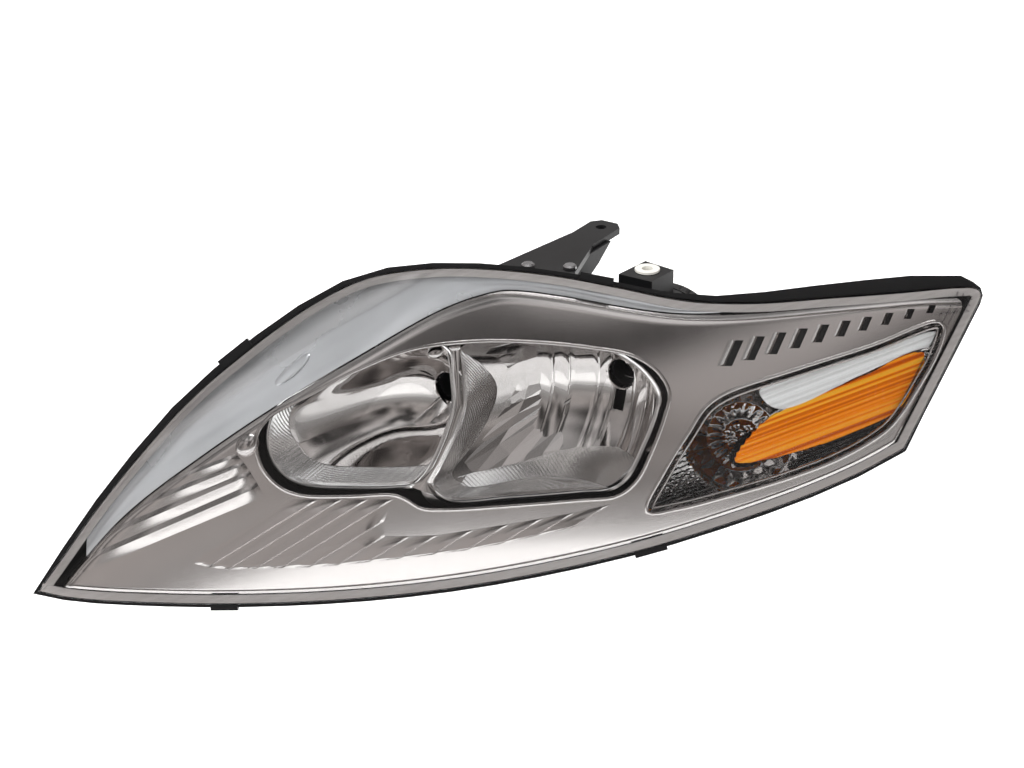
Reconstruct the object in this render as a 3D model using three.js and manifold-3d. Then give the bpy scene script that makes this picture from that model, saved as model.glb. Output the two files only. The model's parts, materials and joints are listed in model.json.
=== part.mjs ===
// Left-hand swept car headlight, halogen, with twin low and high beam reflectors and an indicator.
// It is modelled as it is sold: the two headlamp bulbs aren't fitted.
// Millimetres. +Z is up, -Y is forwards (the way the beams shine) and +X is outboard.
// The sculpted pieces are drawn on a styling plane, the "face": u runs outboard along the lamp,
// v up it, and h stands proud of it. The face is swept back round the wing and laid back.
// Shapes are worked out about a point on the face; the last lines move the origin to the upper bolt.
import * as THREE from "three";
import { mergeVertices } from "three/addons/utils/BufferGeometryUtils.js";
import Module from "manifold-3d";

const wasm = await Module();
wasm.setup();

// ---------------------------------------------------------------- driving dimensions
const DEG = Math.PI / 180;
const SWEEP = 32 * DEG; // the face turns this far outboard of straight ahead
const RAKE = 24 * DEG; // and leans back this far
const GAP = 0.4; // between pieces that touch

const LENS_WALL = 3;
const LENS_SKIRT = 14; // the lens turns back this far behind its rim
const BEZEL_GAP = 12; // lens surface to bezel
const BEZEL_WALL = 2.2;
const BEZEL_LIP = 1.2;
const RIM_SET_BACK = 26; // lens surface to the reflectors' front rims
const CUP_WALL = 2;
const HOUSING_WALL = 3;
const BACK_H = -83; // outside of the housing's back wall, on the face frame
const FLANGE_LIP = 3; // the flange's outer lip stands this far past the lens's foot
const FLANGE_DEPTH = 8;

// Beam reflectors: the vertex of each paraboloid, its focal length and its bulb hole.
const LOW = { x: 35, y: 102, z: 0, focal: 27, hole: 11.5 };
const HIGH = { x: -74, y: 32, z: -10, focal: 25, hole: 11.5 };
const POSITION_BULB = { dx: 8, dz: 27, hole: 6 }; // from the high beam's vertex

// Round pods that stand back from the housing along Y: axis, radius and the plane each ends at.
const LOW_POD = { x: LOW.x, z: LOW.z, r: 46, back: 168, opening: 37 };
const HIGH_POD = { x: HIGH.x, z: HIGH.z, r: 44, back: 98, opening: 34 };
const INDICATOR_POD = { x: 128, z: -52, r: 24, back: 182, opening: 15 };
const BOWL_ROOM = { x: -108, z: -42, r: 38, back: 33 }; // lets the high beam bowl tilt back
const MOTOR_POD = { x: -14, z: -58, r: 20, back: 90, opening: 12 };

// The aiming gear: a universal joint, a levelling rod below it and a side adjuster inboard of it.
const PIVOT = { x: -26, y: 80, z: 20 };
const ROD_BALL_Y = 58;
const SIDE = { x: -128, y: 8.2, z: 22 };
const BALL_R = 5;
const ROD_R = 2.9;
const NECK_R = 1.8;
const FORK_PLAY = 1; // each side of a ball in its fork
const SIDE_BOSS_END = 50; // the back of the boss that the side adjuster's rod comes out of

// Upper fixings.
const BUSH = { x: 27, y: 150, z: 66 };
const ARM_TIP = { x: -35, y: 186, z: 74 };
const ARM_SCREWS = [[-40, 88], [-12, 102]];
const FOOT_Z = -116;
const TAB = { x: -262, y: -134, z: -112 };

// ---------------------------------------------------------------- the face frame
const FACE_U = new THREE.Vector3(Math.cos(SWEEP), Math.sin(SWEEP), 0);
const FACE_H = new THREE.Vector3(
  Math.sin(SWEEP) * Math.cos(RAKE),
  -Math.cos(SWEEP) * Math.cos(RAKE),
  Math.sin(RAKE),
);
const FACE_V = new THREE.Vector3().crossVectors(FACE_H, FACE_U);
const FACE = new THREE.Matrix4().makeBasis(FACE_U, FACE_V, FACE_H);
const onFace = (u, v, h) => new THREE.Vector3(u, v, h).applyMatrix4(FACE);

// ---------------------------------------------------------------- solids
// A geometry as a manifold solid, its faces turned out.
function solid(geometry) {
  const bare = new THREE.BufferGeometry().setAttribute("position", geometry.getAttribute("position"));
  if (geometry.index) bare.setIndex(geometry.index);
  const merged = mergeVertices(bare, 1e-3);
  const corners = merged.index.array;
  const kept = [];
  for (let i = 0; i < corners.length; i += 3) {
    const [a, b, c] = corners.slice(i, i + 3);
    if (a !== b && b !== c && c !== a) kept.push(a, b, c);
  }
  const vertProperties = merged.attributes.position.array;
  const make = (order) =>
    new wasm.Manifold(new wasm.Mesh({ numProp: 3, vertProperties, triVerts: new Uint32Array(order) }));
  const made = make(kept);
  return made.volume() < 0 ? make(kept.reverse()) : made;
}

function geometryOf(made) {
  const mesh = made.getMesh();
  const geometry = new THREE.BufferGeometry();
  geometry.setAttribute("position", new THREE.BufferAttribute(mesh.vertProperties, 3));
  geometry.setIndex(new THREE.BufferAttribute(mesh.triVerts, 1));
  geometry.computeVertexNormals();
  return geometry;
}

// A skin through rings of equally many points. The end rings are collapsed, or joined when loop is set.
function ringSolid(rings, loop = false) {
  const n = rings[0].length;
  const index = [];
  const strips = loop ? rings.length : rings.length - 1;
  for (let k = 0; k < strips; k++) {
    const next = (k + 1) % rings.length;
    for (let i = 0; i < n; i++) {
      const j = (i + 1) % n;
      index.push(k * n + i, k * n + j, next * n + j);
      index.push(k * n + i, next * n + j, next * n + i);
    }
  }
  const geometry = new THREE.BufferGeometry().setFromPoints(rings.flat());
  geometry.setIndex(index);
  return solid(geometry);
}

const allAt = (ring, point) => ring.map(() => point);
const middleOf = (ring) => ring.reduce((sum, p) => sum.add(p), new THREE.Vector3()).divideScalar(ring.length);
const closedAtEnds = (rings) => [
  allAt(rings[0], middleOf(rings[0])),
  ...rings,
  allAt(rings[0], middleOf(rings.at(-1))),
];

const boxSolid = (sx, sy, sz, x, y, z) => solid(new THREE.BoxGeometry(sx, sy, sz).translate(x, y, z));

// A rod along Y, from y0 to y1; along Z or X when asked.
function rodSolid(r, y0, y1, x, z, sides = 24) {
  return solid(new THREE.CylinderGeometry(r, r, y1 - y0, sides).translate(x, (y0 + y1) / 2, z));
}
const rodAlongZ = (r, length, x, y, z, sides = 24) =>
  solid(new THREE.CylinderGeometry(r, r, length, sides).rotateX(Math.PI / 2).translate(x, y, z));
const rodAlongX = (r, length, x, y, z, sides = 24) =>
  solid(new THREE.CylinderGeometry(r, r, length, sides).rotateZ(Math.PI / 2).translate(x, y, z));

// A turned piece: its profile is [radius, distance along Y] points, closed on itself or on the axis.
function turned(profile, sides = 24) {
  return solid(new THREE.LatheGeometry(profile.map(([r, y]) => new THREE.Vector2(r, y)), sides));
}

// A flat plate from an outline of [x, y] points in the XY plane, from z0 up to z1.
function plate(points, z0, z1) {
  const shape = new THREE.Shape(points.map(([x, y]) => new THREE.Vector2(x, y)));
  return solid(new THREE.ExtrudeGeometry(shape, { depth: z1 - z0, bevelEnabled: false }).translate(0, 0, z0));
}

// A web in a plane of constant x, from an outline of [y, z] points.
function web(points, x, thickness) {
  const shape = new THREE.Shape(points.map(([y, z]) => new THREE.Vector2(y, z)));
  const geometry = new THREE.ExtrudeGeometry(shape, { depth: thickness, bevelEnabled: false });
  geometry.translate(0, 0, -thickness / 2);
  const across = new THREE.Matrix4().makeBasis(
    new THREE.Vector3(0, 1, 0),
    new THREE.Vector3(0, 0, 1),
    new THREE.Vector3(1, 0, 0),
  );
  return solid(geometry.applyMatrix4(across).translate(x, 0, 0));
}

// ---------------------------------------------------------------- outlines on the face
// A smooth curve through [u, v] points, as v for any u.
function curveThrough(points) {
  const slope = (i) => {
    const [a, b] = [points[Math.max(i - 1, 0)], points[Math.min(i + 1, points.length - 1)]];
    return (b[1] - a[1]) / (b[0] - a[0]);
  };
  return (u) => {
    const after = points.findIndex(([pu]) => pu > u);
    const i = after < 0 ? points.length - 2 : Math.max(after - 1, 0);
    const [[u0, v0], [u1, v1]] = [points[i], points[i + 1]];
    const width = u1 - u0;
    const t = Math.min(Math.max((u - u0) / width, 0), 1);
    const bend = (1 - t) * slope(i) * width * t * (1 - t) - t * slope(i + 1) * width * t * (1 - t);
    return v0 + (v1 - v0) * t * t * (3 - 2 * t) + bend;
  };
}

const LENS = {
  tip: -350,
  lowEnd: 292,
  topEnd: 336,
  corner: [355.5, 93], // where the outboard end's line would meet the top edge
  lower: curveThrough([
    [-350, -134.5], [-326, -139], [-282, -142], [-208, -143.5], [-126, -140.5], [-52, -133],
    [22, -120.5], [96, -103.5], [162, -83.5], [214, -65.5], [258, -47], [288, -31], [300, -24.5],
  ]),
  upper: curveThrough([
    [-350, -134.5], [-332, -109], [-308, -75], [-278, -37], [-241, 5], [-200, 41], [-156, 73.5],
    [-123, 92], [-97, 100.5], [-52, 105], [-8, 103.5], [36, 98.5], [81, 90], [114, 83], [140, 79.5],
    [184, 79], [236, 83], [288, 87], [330, 91], [345, 91],
  ]),
};

// The bezel stops short of the lens all round; along the top it follows a brow of its own.
const BEZEL = {
  tip: -334,
  lowEnd: 283.5,
  topEnd: 326,
  corner: [341.5, 84.5],
  lower: (u) => LENS.lower(u) + 5,
  upper: curveThrough([
    [-334, -132], [-286, -79], [-226, -33], [-163, 9], [-105, 43.5], [-69, 64.5], [-47, 75.5],
    [-25, 83.5], [-3, 88], [36, 84], [81, 76], [114, 71.5], [142, 70.5], [175, 72], [209, 75],
    [255, 79.5], [303, 83.5], [338, 84],
  ]),
};

const LONG = 21; // points along each long edge
const END = 8; // steps up the outboard end, half of them straight and half round the corner
const CORNER_REACH = 15; // how far before the corner the outboard end starts to turn
const CLIP_SEGMENTS = [5, 15, 36, 44]; // which stretches between points of the lens's edge hold its clips

// Points round a leaf-shaped outline: along the lower edge from the tip, straight up the end, round its
// corner, and back along the top.
function outlineOf(leaf, outset = 0) {
  const points = [];
  const share = (i) => (i / LONG) ** 1.15; // closer together at the tip
  for (let i = 0; i <= LONG; i++) {
    const u = leaf.tip + (leaf.lowEnd - leaf.tip) * share(i);
    points.push([u, leaf.lower(u)]);
  }
  const mix = (a, b, t) => [a[0] + (b[0] - a[0]) * t, a[1] + (b[1] - a[1]) * t];
  const [low, top] = [points[LONG], [leaf.topEnd, leaf.upper(leaf.topEnd)]];
  const straight = Math.hypot(leaf.corner[0] - low[0], leaf.corner[1] - low[1]);
  const turn = mix(leaf.corner, low, CORNER_REACH / straight);
  for (let k = 1; k < END; k++) {
    const t = k / (END / 2);
    if (t <= 1) points.push(mix(low, turn, t));
    else points.push(mix(mix(turn, leaf.corner, t - 1), mix(leaf.corner, top, t - 1), t - 1));
  }
  for (let i = LONG; i > 0; i--) {
    const u = leaf.tip + (leaf.topEnd - leaf.tip) * share(i);
    points.push([u, leaf.upper(u)]);
  }
  return offset(points, outset);
}

// Moves each point of a closed outline out along its corner's normal: by a number, or a number for each.
function offset(points, out) {
  const n = points.length;
  return points.map(([u, v], i) => {
    const [pu, pv] = points[(i + n - 1) % n];
    const [nu, nv] = points[(i + 1) % n];
    const [a, b] = [Math.hypot(u - pu, v - pv), Math.hypot(nu - u, nv - v)];
    const before = [(v - pv) / a, -(u - pu) / a];
    const after = [(nv - v) / b, -(nu - u) / b];
    const sum = [before[0] + after[0], before[1] + after[1]];
    const size = Math.hypot(...sum);
    const amount = (typeof out === "number" ? out : out[i]) / Math.max(size / 2, 0.4);
    return [u + (sum[0] / size) * amount, v + (sum[1] / size) * amount];
  });
}

// The line down the middle of an outline, point for point, onto which its skin closes.
function spineOf(ring) {
  const n = ring.length;
  const half = (a, b) => [(a[0] + b[0]) / 2, (a[1] + b[1]) / 2];
  return ring.map((p, i) => {
    if (i <= LONG) return half(p, ring[(n - i) % n]);
    if (i >= LONG + END) return half(ring[n - i], p);
    return half(ring[LONG], ring[LONG + END]);
  });
}

const between = (a, b, t) => a.map((p, i) => [p[0] + (b[i][0] - p[0]) * t, p[1] + (b[i][1] - p[1]) * t]);
const lift = (ring, height) => ring.map(([u, v], i) => onFace(u, v, height(u, v, i)));

// A closed smooth outline through hand-placed corners, as n points.
function closedOutline(corners, n) {
  const points = corners.map(([u, v]) => new THREE.Vector3(u, v, 0));
  const curve = new THREE.CatmullRomCurve3(points, true, "centripetal");
  return curve.getSpacedPoints(n).slice(0, n).map((p) => [p.x, p.y]);
}

// ---------------------------------------------------------------- surfaces over the face
const middleV = (u) => -11 + 4 * (u / 100) - 2.3 * (u / 100) ** 2 + 2.2 * (u / 100) ** 3;

// The lens: falls away to both ends, is crowned across, and rolls back above the brow.
function lensHeight(u, v) {
  const fall = (u < 0 ? 26 : 46) * (u / 350) ** 2;
  const crown = 16 * ((v - middleV(u)) / 110) ** 2;
  const roll = 30 * (Math.max(v - BEZEL.upper(u), 0) / 60) ** 2;
  return -fall - crown - roll;
}
const bezelHeight = (u, v) => lensHeight(u, v) - BEZEL_GAP;
const rimHeight = (u, v) => lensHeight(u, v) - RIM_SET_BACK;

// ---------------------------------------------------------------- materials
const finish = (color, roughness, metalness = 0, extra = {}) =>
  new THREE.MeshStandardMaterial({ color, roughness, metalness, ...extra });
const clear = finish(0xf2f5f5, 0.05, 0, { transparent: true, opacity: 0.25 });
const amber = finish(0xf28a10, 0.15, 0, { transparent: true, opacity: 0.7 });
const chrome = finish(0xc9c8c6, 0.12, 1);
const satinGrey = finish(0x6c6e72, 0.35, 0.4);
const blackPlastic = finish(0x17181a, 0.6);
const darkPlastic = finish(0x2a2b2d, 0.55);
const rubber = finish(0x1c1c1c, 0.85);
const nylon = finish(0xe8e6dc, 0.5);
const steel = finish(0xa9abad, 0.35, 1);
const glass = finish(0xeef3f5, 0.03, 0, { transparent: true, opacity: 0.3 });

// ---------------------------------------------------------------- the assembly's bodies
const lamp = new THREE.Group();
const group = (parent) => {
  const made = new THREE.Group();
  parent.add(made);
  return made;
};
const housing = group(lamp);
const pivotCross = group(lamp);
const reflectorUnit = group(pivotCross);
const aimingGear = group(lamp);
const covers = group(lamp);
const indicatorHolder = group(lamp);

function piece(name, shape, material, parent, place = [0, 0, 0]) {
  const mesh = new THREE.Mesh(geometryOf(shape), material);
  mesh.name = name;
  mesh.position.set(...place);
  parent.add(mesh);
  return mesh;
}

// ---------------------------------------------------------------- outer lens
const lensEdge = outlineOf(LENS);
const rim = lensEdge.map(([u, v]) => lensHeight(u, v)); // the lens's height round its edge
const belowRim = (depth) => (u, v, i) => rim[i] - depth;
const SKIN_RINGS = 4;

function skin(edge, height) {
  const spine = spineOf(edge);
  const rings = [];
  for (let k = 0; k <= SKIN_RINGS; k++) rings.push(lift(between(spine, edge, k / SKIN_RINGS), height));
  return rings;
}

function outerLens() {
  const inner = outlineOf(LENS, -LENS_WALL);
  const under = (u, v) => lensHeight(u, v) - LENS_WALL;
  return ringSolid([
    ...skin(lensEdge, lensHeight),
    lift(lensEdge, belowRim(LENS_SKIRT)),
    lift(inner, belowRim(LENS_SKIRT)),
    ...skin(inner, under).reverse(),
  ]);
}

function lensSeal() {
  const [out, inside] = [outlineOf(LENS, 0.4), outlineOf(LENS, -4)];
  const [top, bottom] = [LENS_SKIRT + GAP, LENS_SKIRT + 4 - GAP];
  const outer = [lift(out, belowRim(top)), lift(out, belowRim(bottom))];
  const inner = [lift(inside, belowRim(bottom)), lift(inside, belowRim(top))];
  return ringSolid([...outer, ...inner], true);
}

// ---------------------------------------------------------------- housing
// How far the flange stands out past the lens: narrow below, wide along the outboard top edge.
const topReach = curveThrough([
  [-350, 4], [-250, 6], [-60, 4.5], [60, 4], [140, 5], [200, 9], [300, 12], [336, 9],
]);
const END_REACH = [2, 2, 2, 2, 2, 2.5, 4.5]; // up the outboard end
const flangeReach = lensEdge.map(([u], i) => {
  if (i <= LONG) return 2.8;
  return i < LONG + END ? END_REACH[i - LONG - 1] : topReach(u);
});

// The body narrows behind the flange to a flat back wall.
const narrowed = (ring, along, across) =>
  ring.map(([u, v]) => [u * along + 50 * (1 - along), middleV(u) + (v - middleV(u)) * across]);

function tub(inset, backH) {
  const edge = offset(lensEdge, -2 - inset);
  const shoulder = narrowed(edge, 0.93, 0.84);
  const back = narrowed(edge, 0.8, 0.62);
  const half = (u, v, i) => {
    const flangeBack = rim[i] - LENS_SKIRT - FLANGE_DEPTH;
    return Math.min(flangeBack - 1, (flangeBack + backH) / 2);
  };
  return { edge, rings: [lift(spineOf(back), () => backH), lift(back, () => backH), lift(shoulder, half)] };
}

function pod({ x, z, r, back }, inset = 0) {
  return rodSolid(r - inset, back - 90, back - inset, x, z, 32);
}

// The hollow inside: room for the lens's foot, a step for its seal, then the tub's own walls.
function hollowInside() {
  const room = offset(lensEdge, 1);
  const { edge, rings } = tub(HOUSING_WALL, BACK_H + HOUSING_WALL);
  const floor = belowRim(LENS_SKIRT + 4);
  const mouth = [lift(spineOf(room), () => 60), lift(room, () => 60), lift(room, floor), lift(edge, floor)];
  return ringSolid([...mouth, ...rings.reverse()]);
}

function mainHousing() {
  const { edge, rings } = tub(0, BACK_H);
  const lip = offset(lensEdge, flangeReach);
  const under = belowRim(LENS_SKIRT + FLANGE_DEPTH);
  const over = belowRim(LENS_SKIRT - FLANGE_LIP);
  const flange = [lift(edge, under), lift(lip, under), lift(lip, over), lift(lensEdge, over)];
  let body = ringSolid([...rings, ...flange, lift(spineOf(lensEdge), () => 0)]);

  const pods = [LOW_POD, HIGH_POD, INDICATOR_POD, MOTOR_POD];
  for (const p of [...pods, BOWL_ROOM]) body = body.add(pod(p));
  body = body.add(sideBoss()).add(connectorPod());
  body = body.subtract(hollowInside()).subtract(pod(BOWL_ROOM, HOUSING_WALL));
  for (const p of pods) {
    body = body.subtract(pod(p, HOUSING_WALL));
    body = body.subtract(rodSolid(p.opening, p.back - 10, p.back + 10, p.x, p.z));
  }
  for (const p of [LOW_POD, HIGH_POD]) body = body.add(collar(p));
  body = body.add(pivotPad());
  body = body.subtract(rodSolid(ROD_R + 0.7, 0, 80, SIDE.x, SIDE.z, 16));
  body = body.subtract(connectorSocket());
  for (const [u, v] of VENTS) body = body.subtract(ventHole(u, v));
  return keepLargest(body);
}

// The outside of the housing, grown by the gap that its brackets keep from it.
function housingEnvelope() {
  const { edge, rings } = tub(-GAP, BACK_H - GAP);
  const lip = offset(lensEdge, flangeReach.map((reach) => reach + GAP));
  const front = () => 0;
  const under = belowRim(LENS_SKIRT + FLANGE_DEPTH + GAP);
  const flange = [lift(edge, under), lift(lip, under), lift(lip, front), lift(spineOf(lip), front)];
  let grown = ringSolid([...rings, ...flange]).add(pivotPad(GAP));
  for (const p of [LOW_POD, HIGH_POD, MOTOR_POD]) grown = grown.add(pod({ ...p, back: p.back + 20 }, -GAP));
  return grown;
}

// Cuts can leave slivers where a pod's wall and the tub's wall cross; only the housing itself is kept.
const keepLargest = (made) => made.decompose().reduce((a, b) => (b.volume() > a.volume() ? b : a));

// The raised ring that a rear cover pushes onto.
const COLLAR = { height: 9, wall: 3 };
const collar = (p) =>
  rodSolid(p.opening + COLLAR.wall, p.back - 1, p.back + COLLAR.height, p.x, p.z).subtract(
    rodSolid(p.opening, p.back - 5, p.back + COLLAR.height + 1, p.x, p.z),
  );

// The long upper arm runs straight back from the flange to a pad with a bolt hole.
function upperArm(envelope) {
  const { x, y, z } = ARM_TIP;
  const pad = 13;
  const top = plate(
    [
      [x - 30, y - 131], [x + 35, y - 96], [x + 30, y - 88], [x + pad, y - 34], [x + pad, y + 6],
      [x + 7, y + pad], [x - 7, y + pad], [x - pad, y + 6], [x - pad, y - 20],
    ],
    z - 5,
    z,
  );
  const side = [[y - 110, z - 4], [y - 12, z - 4], [y - 30, z - 16], [y - 80, z - 40], [y - 96, z - 52]];
  const gusset = (at) => web(side, at, 4);
  let arm = top.add(gusset(x - 8)).add(gusset(x + 14)).subtract(rodAlongZ(4.2, 30, x, y, z));
  for (const [sx, sy] of ARM_SCREWS) arm = arm.subtract(rodAlongZ(2.5, 20, sx, sy, z, 16));
  return keepLargest(arm.subtract(envelope));
}

// A pedestal on the low beam's pod carries the bush for the second bolt.
function bushPedestal(envelope) {
  const { x, y, z } = BUSH;
  const outline = [[x - 15, y - 17], [x + 14, y - 17], [x + 16, y + 12], [x - 11, y + 16]];
  const block = plate(outline, LOW.z + LOW_POD.r - 8, z - 2);
  return keepLargest(block.subtract(rodAlongZ(8, 14, x, y, z - 7)).subtract(envelope));
}

// A foot under the body rests on the car's front panel.
function lowerFoot(envelope) {
  const ribs = [30, 54].map((y) => boxSolid(40, 5, 40, 20, y, FOOT_Z + 20));
  const sole = boxSolid(44, 34, 4, 20, 42, FOOT_Z + 2);
  return keepLargest(ribs[0].add(ribs[1]).add(sole).subtract(envelope));
}

// A tab behind the inboard tip, with a locating hole.
function inboardTab(envelope) {
  const blank = boxSolid(4, 62, 26, TAB.x, TAB.y, TAB.z);
  const hole = rodAlongX(4.2, 20, TAB.x, TAB.y + 20, TAB.z, 16);
  return keepLargest(blank.subtract(hole).subtract(envelope));
}

// A screw with a washer head that fixes the arm.
const SCREW = [[0, -4], [2.1, -4], [2.1, 0.3], [5, 0.3], [5, 2.2], [3.8, 3.4], [0, 3.4]];
const bracketScrew = () => turned(SCREW, 16);

// Where the side adjuster's rod comes through the back wall.
const sideBoss = () => rodSolid(8, SIDE.y + 16, SIDE_BOSS_END, SIDE.x, SIDE.z, 20);

// A pad inside the back wall takes the universal joint's fork.
const pivotPad = (extra = 0) =>
  boxSolid(15 + 2 * extra, 14 + 2 * extra, 20 + 2 * extra, PIVOT.x, PIVOT.y + 16, PIVOT.z);

// The main connector stands in a square pod beside the low beam.
const PLUG = { x: 100, z: 4, width: 34, height: 22, back: 190 };
const connectorPod = () => boxSolid(PLUG.width, 60, PLUG.height, PLUG.x, PLUG.back - 30, PLUG.z);
const connectorSocket = () => boxSolid(PLUG.width - 5, 16, PLUG.height - 5, PLUG.x, PLUG.back - 6, PLUG.z);

// Two breathers on the back wall, square to it.
const VENTS = [[-150, -52], [178, 12]];
function ventHole(u, v) {
  const hole = new THREE.CylinderGeometry(3, 3, 12, 12).rotateX(Math.PI / 2);
  return solid(hole.translate(u, v, BACK_H).applyMatrix4(FACE));
}

// ---------------------------------------------------------------- bezel and trim
const TWIN_OPENING = [
  [-187, -20], [-184, -40], [-172, -55], [-156, -62], [-120, -63], [-86, -62], [-76, -66], [-66, -72],
  [-48, -73], [0, -70], [50, -66], [78, -63], [92, -52], [104, -28], [113, -3], [116, 12], [108, 27],
  [90, 39], [60, 45], [10, 49.5], [-30, 49.5], [-74, 43.5], [-112, 29], [-150, 9.5], [-178, -6],
];
const INDICATOR_WINDOW = [
  [101, -75], [122, -73], [162, -63], [206, -50], [243, -36], [272, -20], [284, -10], [303, 18], [317, 43],
  [322, 62], [318, 65], [268, 47], [214, 30], [158, 11], [144, 1], [132, -17], [114, -46],
];
const WINDOW_POINTS = 32;
const SLOTS = { count: 10, from: [162, 42], to: [313, 75], tall: [19, 6], wide: [11, 5], lean: 0.45 };

function prism(points, h0, h1) {
  const shape = new THREE.Shape(points.map(([u, v]) => new THREE.Vector2(u, v)));
  const geometry = new THREE.ExtrudeGeometry(shape, { depth: h1 - h0, bevelEnabled: false });
  return solid(geometry.translate(0, 0, h0).applyMatrix4(FACE));
}

// The cooling-style slots get smaller towards the outboard end.
function slotOutlines() {
  return Array.from({ length: SLOTS.count }, (_, i) => {
    const t = i / (SLOTS.count - 1);
    const mix = ([a, b]) => a + (b - a) * t;
    const [u, v] = [mix([SLOTS.from[0], SLOTS.to[0]]), mix([SLOTS.from[1], SLOTS.to[1]])];
    const [w, h] = [mix(SLOTS.wide) / 2, mix(SLOTS.tall) / 2];
    const lean = SLOTS.lean * h;
    return [[u - w - lean, v - h], [u + w - lean, v - h], [u + w + lean, v + h], [u - w + lean, v + h]];
  });
}

// A rim that turns back from the bezel round an opening.
function openingLip(opening) {
  const outer = offset(opening, 2);
  const top = (u, v) => bezelHeight(u, v) - BEZEL_WALL / 2;
  const bottom = (u, v) => bezelHeight(u, v) - BEZEL_WALL - BEZEL_LIP;
  return ringSolid([lift(opening, top), lift(opening, bottom), lift(outer, bottom), lift(outer, top)], true);
}

function bezelShape() {
  const edge = outlineOf(BEZEL);
  const under = (u, v) => bezelHeight(u, v) - BEZEL_WALL;
  const [twin, window] = [closedOutline(TWIN_OPENING, 44), closedOutline(INDICATOR_WINDOW, WINDOW_POINTS)];
  let sheet = ringSolid([...skin(edge, bezelHeight), ...skin(edge, under).reverse()]);
  sheet = sheet.subtract(prism(twin, -90, 20)).subtract(prism(window, -110, 20));
  for (const slot of slotOutlines()) sheet = sheet.subtract(prism(slot, -110, 20));
  return sheet.add(openingLip(twin)).add(openingLip(window));
}

// The panel between the brow and the lens's upper edge, a strip from the tip to where the two meet.
function trimPanel() {
  const rings = [];
  const steps = 26;
  for (let k = 0; k <= steps; k++) {
    const u = -315 + (k / steps) * 470;
    const tilt = (curve) => Math.hypot(1, curve(u + 1) - curve(u));
    const foot = BEZEL.upper(u) + tilt(BEZEL.upper);
    const head = LENS.upper(u) - 5.5 * tilt(LENS.upper);
    const lowH = bezelHeight(u, foot);
    const highH = lensHeight(u, LENS.upper(u)) - LENS_SKIRT + 1;
    const bow = (t) => lowH + (highH - lowH) * t + 3 * 4 * t * (1 - t);
    const across = [0, 0.33, 0.67, 1];
    const section = across.map((t) => onFace(u, foot + (head - foot) * t, bow(t)));
    rings.push([...section, ...across.map((t) => onFace(u, foot + (head - foot) * t, bow(t) - 2)).reverse()]);
  }
  return ringSolid(closedAtEnds(rings));
}

// ---------------------------------------------------------------- beam reflectors
const LOW_RIM = [
  [-58, -56], [-46, -66], [0, -64], [50, -60], [74, -57.5], [86, -49], [98, -26], [107, -3], [109, 11],
  [101, 25], [86, 38], [58, 50], [10, 55], [-26, 54], [-37, 46], [-35, 25], [-34, 3], [-41, -20], [-51, -41],
];
const HIGH_RIM = [
  [-180, -20], [-176, -37], [-166, -49], [-152, -55], [-120, -57], [-86, -56.5], [-70, -54], [-60, -42],
  [-50, -20], [-43, 3], [-44, 25], [-47, 44], [-76, 49], [-114, 35], [-150, 17], [-173, 2],
];
const CUP_POINTS = 34;

// A reflector: a paraboloid round the bulb hole, with straight walls forward to a rim in the face.
function cup({ x, y, z, focal, hole }, corners) {
  const rimPoints = closedOutline(corners, CUP_POINTS);
  const front = rimPoints.map(([u, v]) => onFace(u, v, rimHeight(u, v)));
  const dish = (px, pz) => y - ((px - x) ** 2 + (pz - z) ** 2) / (4 * focal);
  const angle = (p) => Math.atan2(p.z - z, p.x - x);
  const edge = front.map((p) => new THREE.Vector3(p.x, Math.max(dish(p.x, p.z), p.y + 1), p.z));
  const eye = front.map((p) => {
    const a = angle(p);
    const [ex, ez] = [x + hole * Math.cos(a), z + hole * Math.sin(a)];
    return new THREE.Vector3(ex, dish(ex, ez), ez);
  });
  const part = (t) =>
    edge.map((p, i) => {
      const [px, pz] = [eye[i].x + (p.x - eye[i].x) * t, eye[i].z + (p.z - eye[i].z) * t];
      return new THREE.Vector3(px, Math.min(dish(px, pz), eye[i].y) * (1 - t ** 8) + p.y * t ** 8, pz);
    });
  const dishes = [0.25, 0.5, 0.75].map(part);
  const widened = offset(front.map((p) => [p.x, p.z]), CUP_WALL);
  const behind = (ring) => ring.map((p) => new THREE.Vector3(p.x, p.y + CUP_WALL, p.z));
  const outside = (ring, shift) =>
    ring.map((p, i) => new THREE.Vector3(widened[i][0], p.y + shift, widened[i][1]));
  const inner = [eye, ...dishes, edge, front];
  const outer = [outside(front, 0.01), outside(edge, CUP_WALL), ...dishes.reverse().map(behind), behind(eye)];
  return ringSolid([...inner, ...outer], true);
}

// The neck behind a bulb hole, which the bulb's flange seats in.
const SEAT = { inner: 13, outer: 17, depth: 12 };
function bulbSeat({ x, y, z }) {
  const bore = rodSolid(SEAT.inner, y + 3, y + SEAT.depth + 1, x, z);
  return rodSolid(SEAT.outer, y - 2, y + SEAT.depth, x, z).subtract(bore);
}

// A slotted fork that holds a ball between its two faces and lets it slide across them.
function fork({ x, y, z }) {
  const slot = BALL_R + FORK_PLAY;
  const face = slot + 1.8;
  let made = boxSolid(14, 2 * face, 19, x, y, z - 2.5);
  made = made.subtract(boxSolid(15, 2 * slot, 18, x, y, z));
  made = made.subtract(boxSolid(9, 4, 18, x, y + face, z + 4));
  return made.add(boxSolid(10, 12, 6, x, y - face - 5.5, z - 6));
}

const hollow = ({ x, y, z, hole }) => rodSolid(hole, y - 8, y + 8, x, z);

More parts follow.
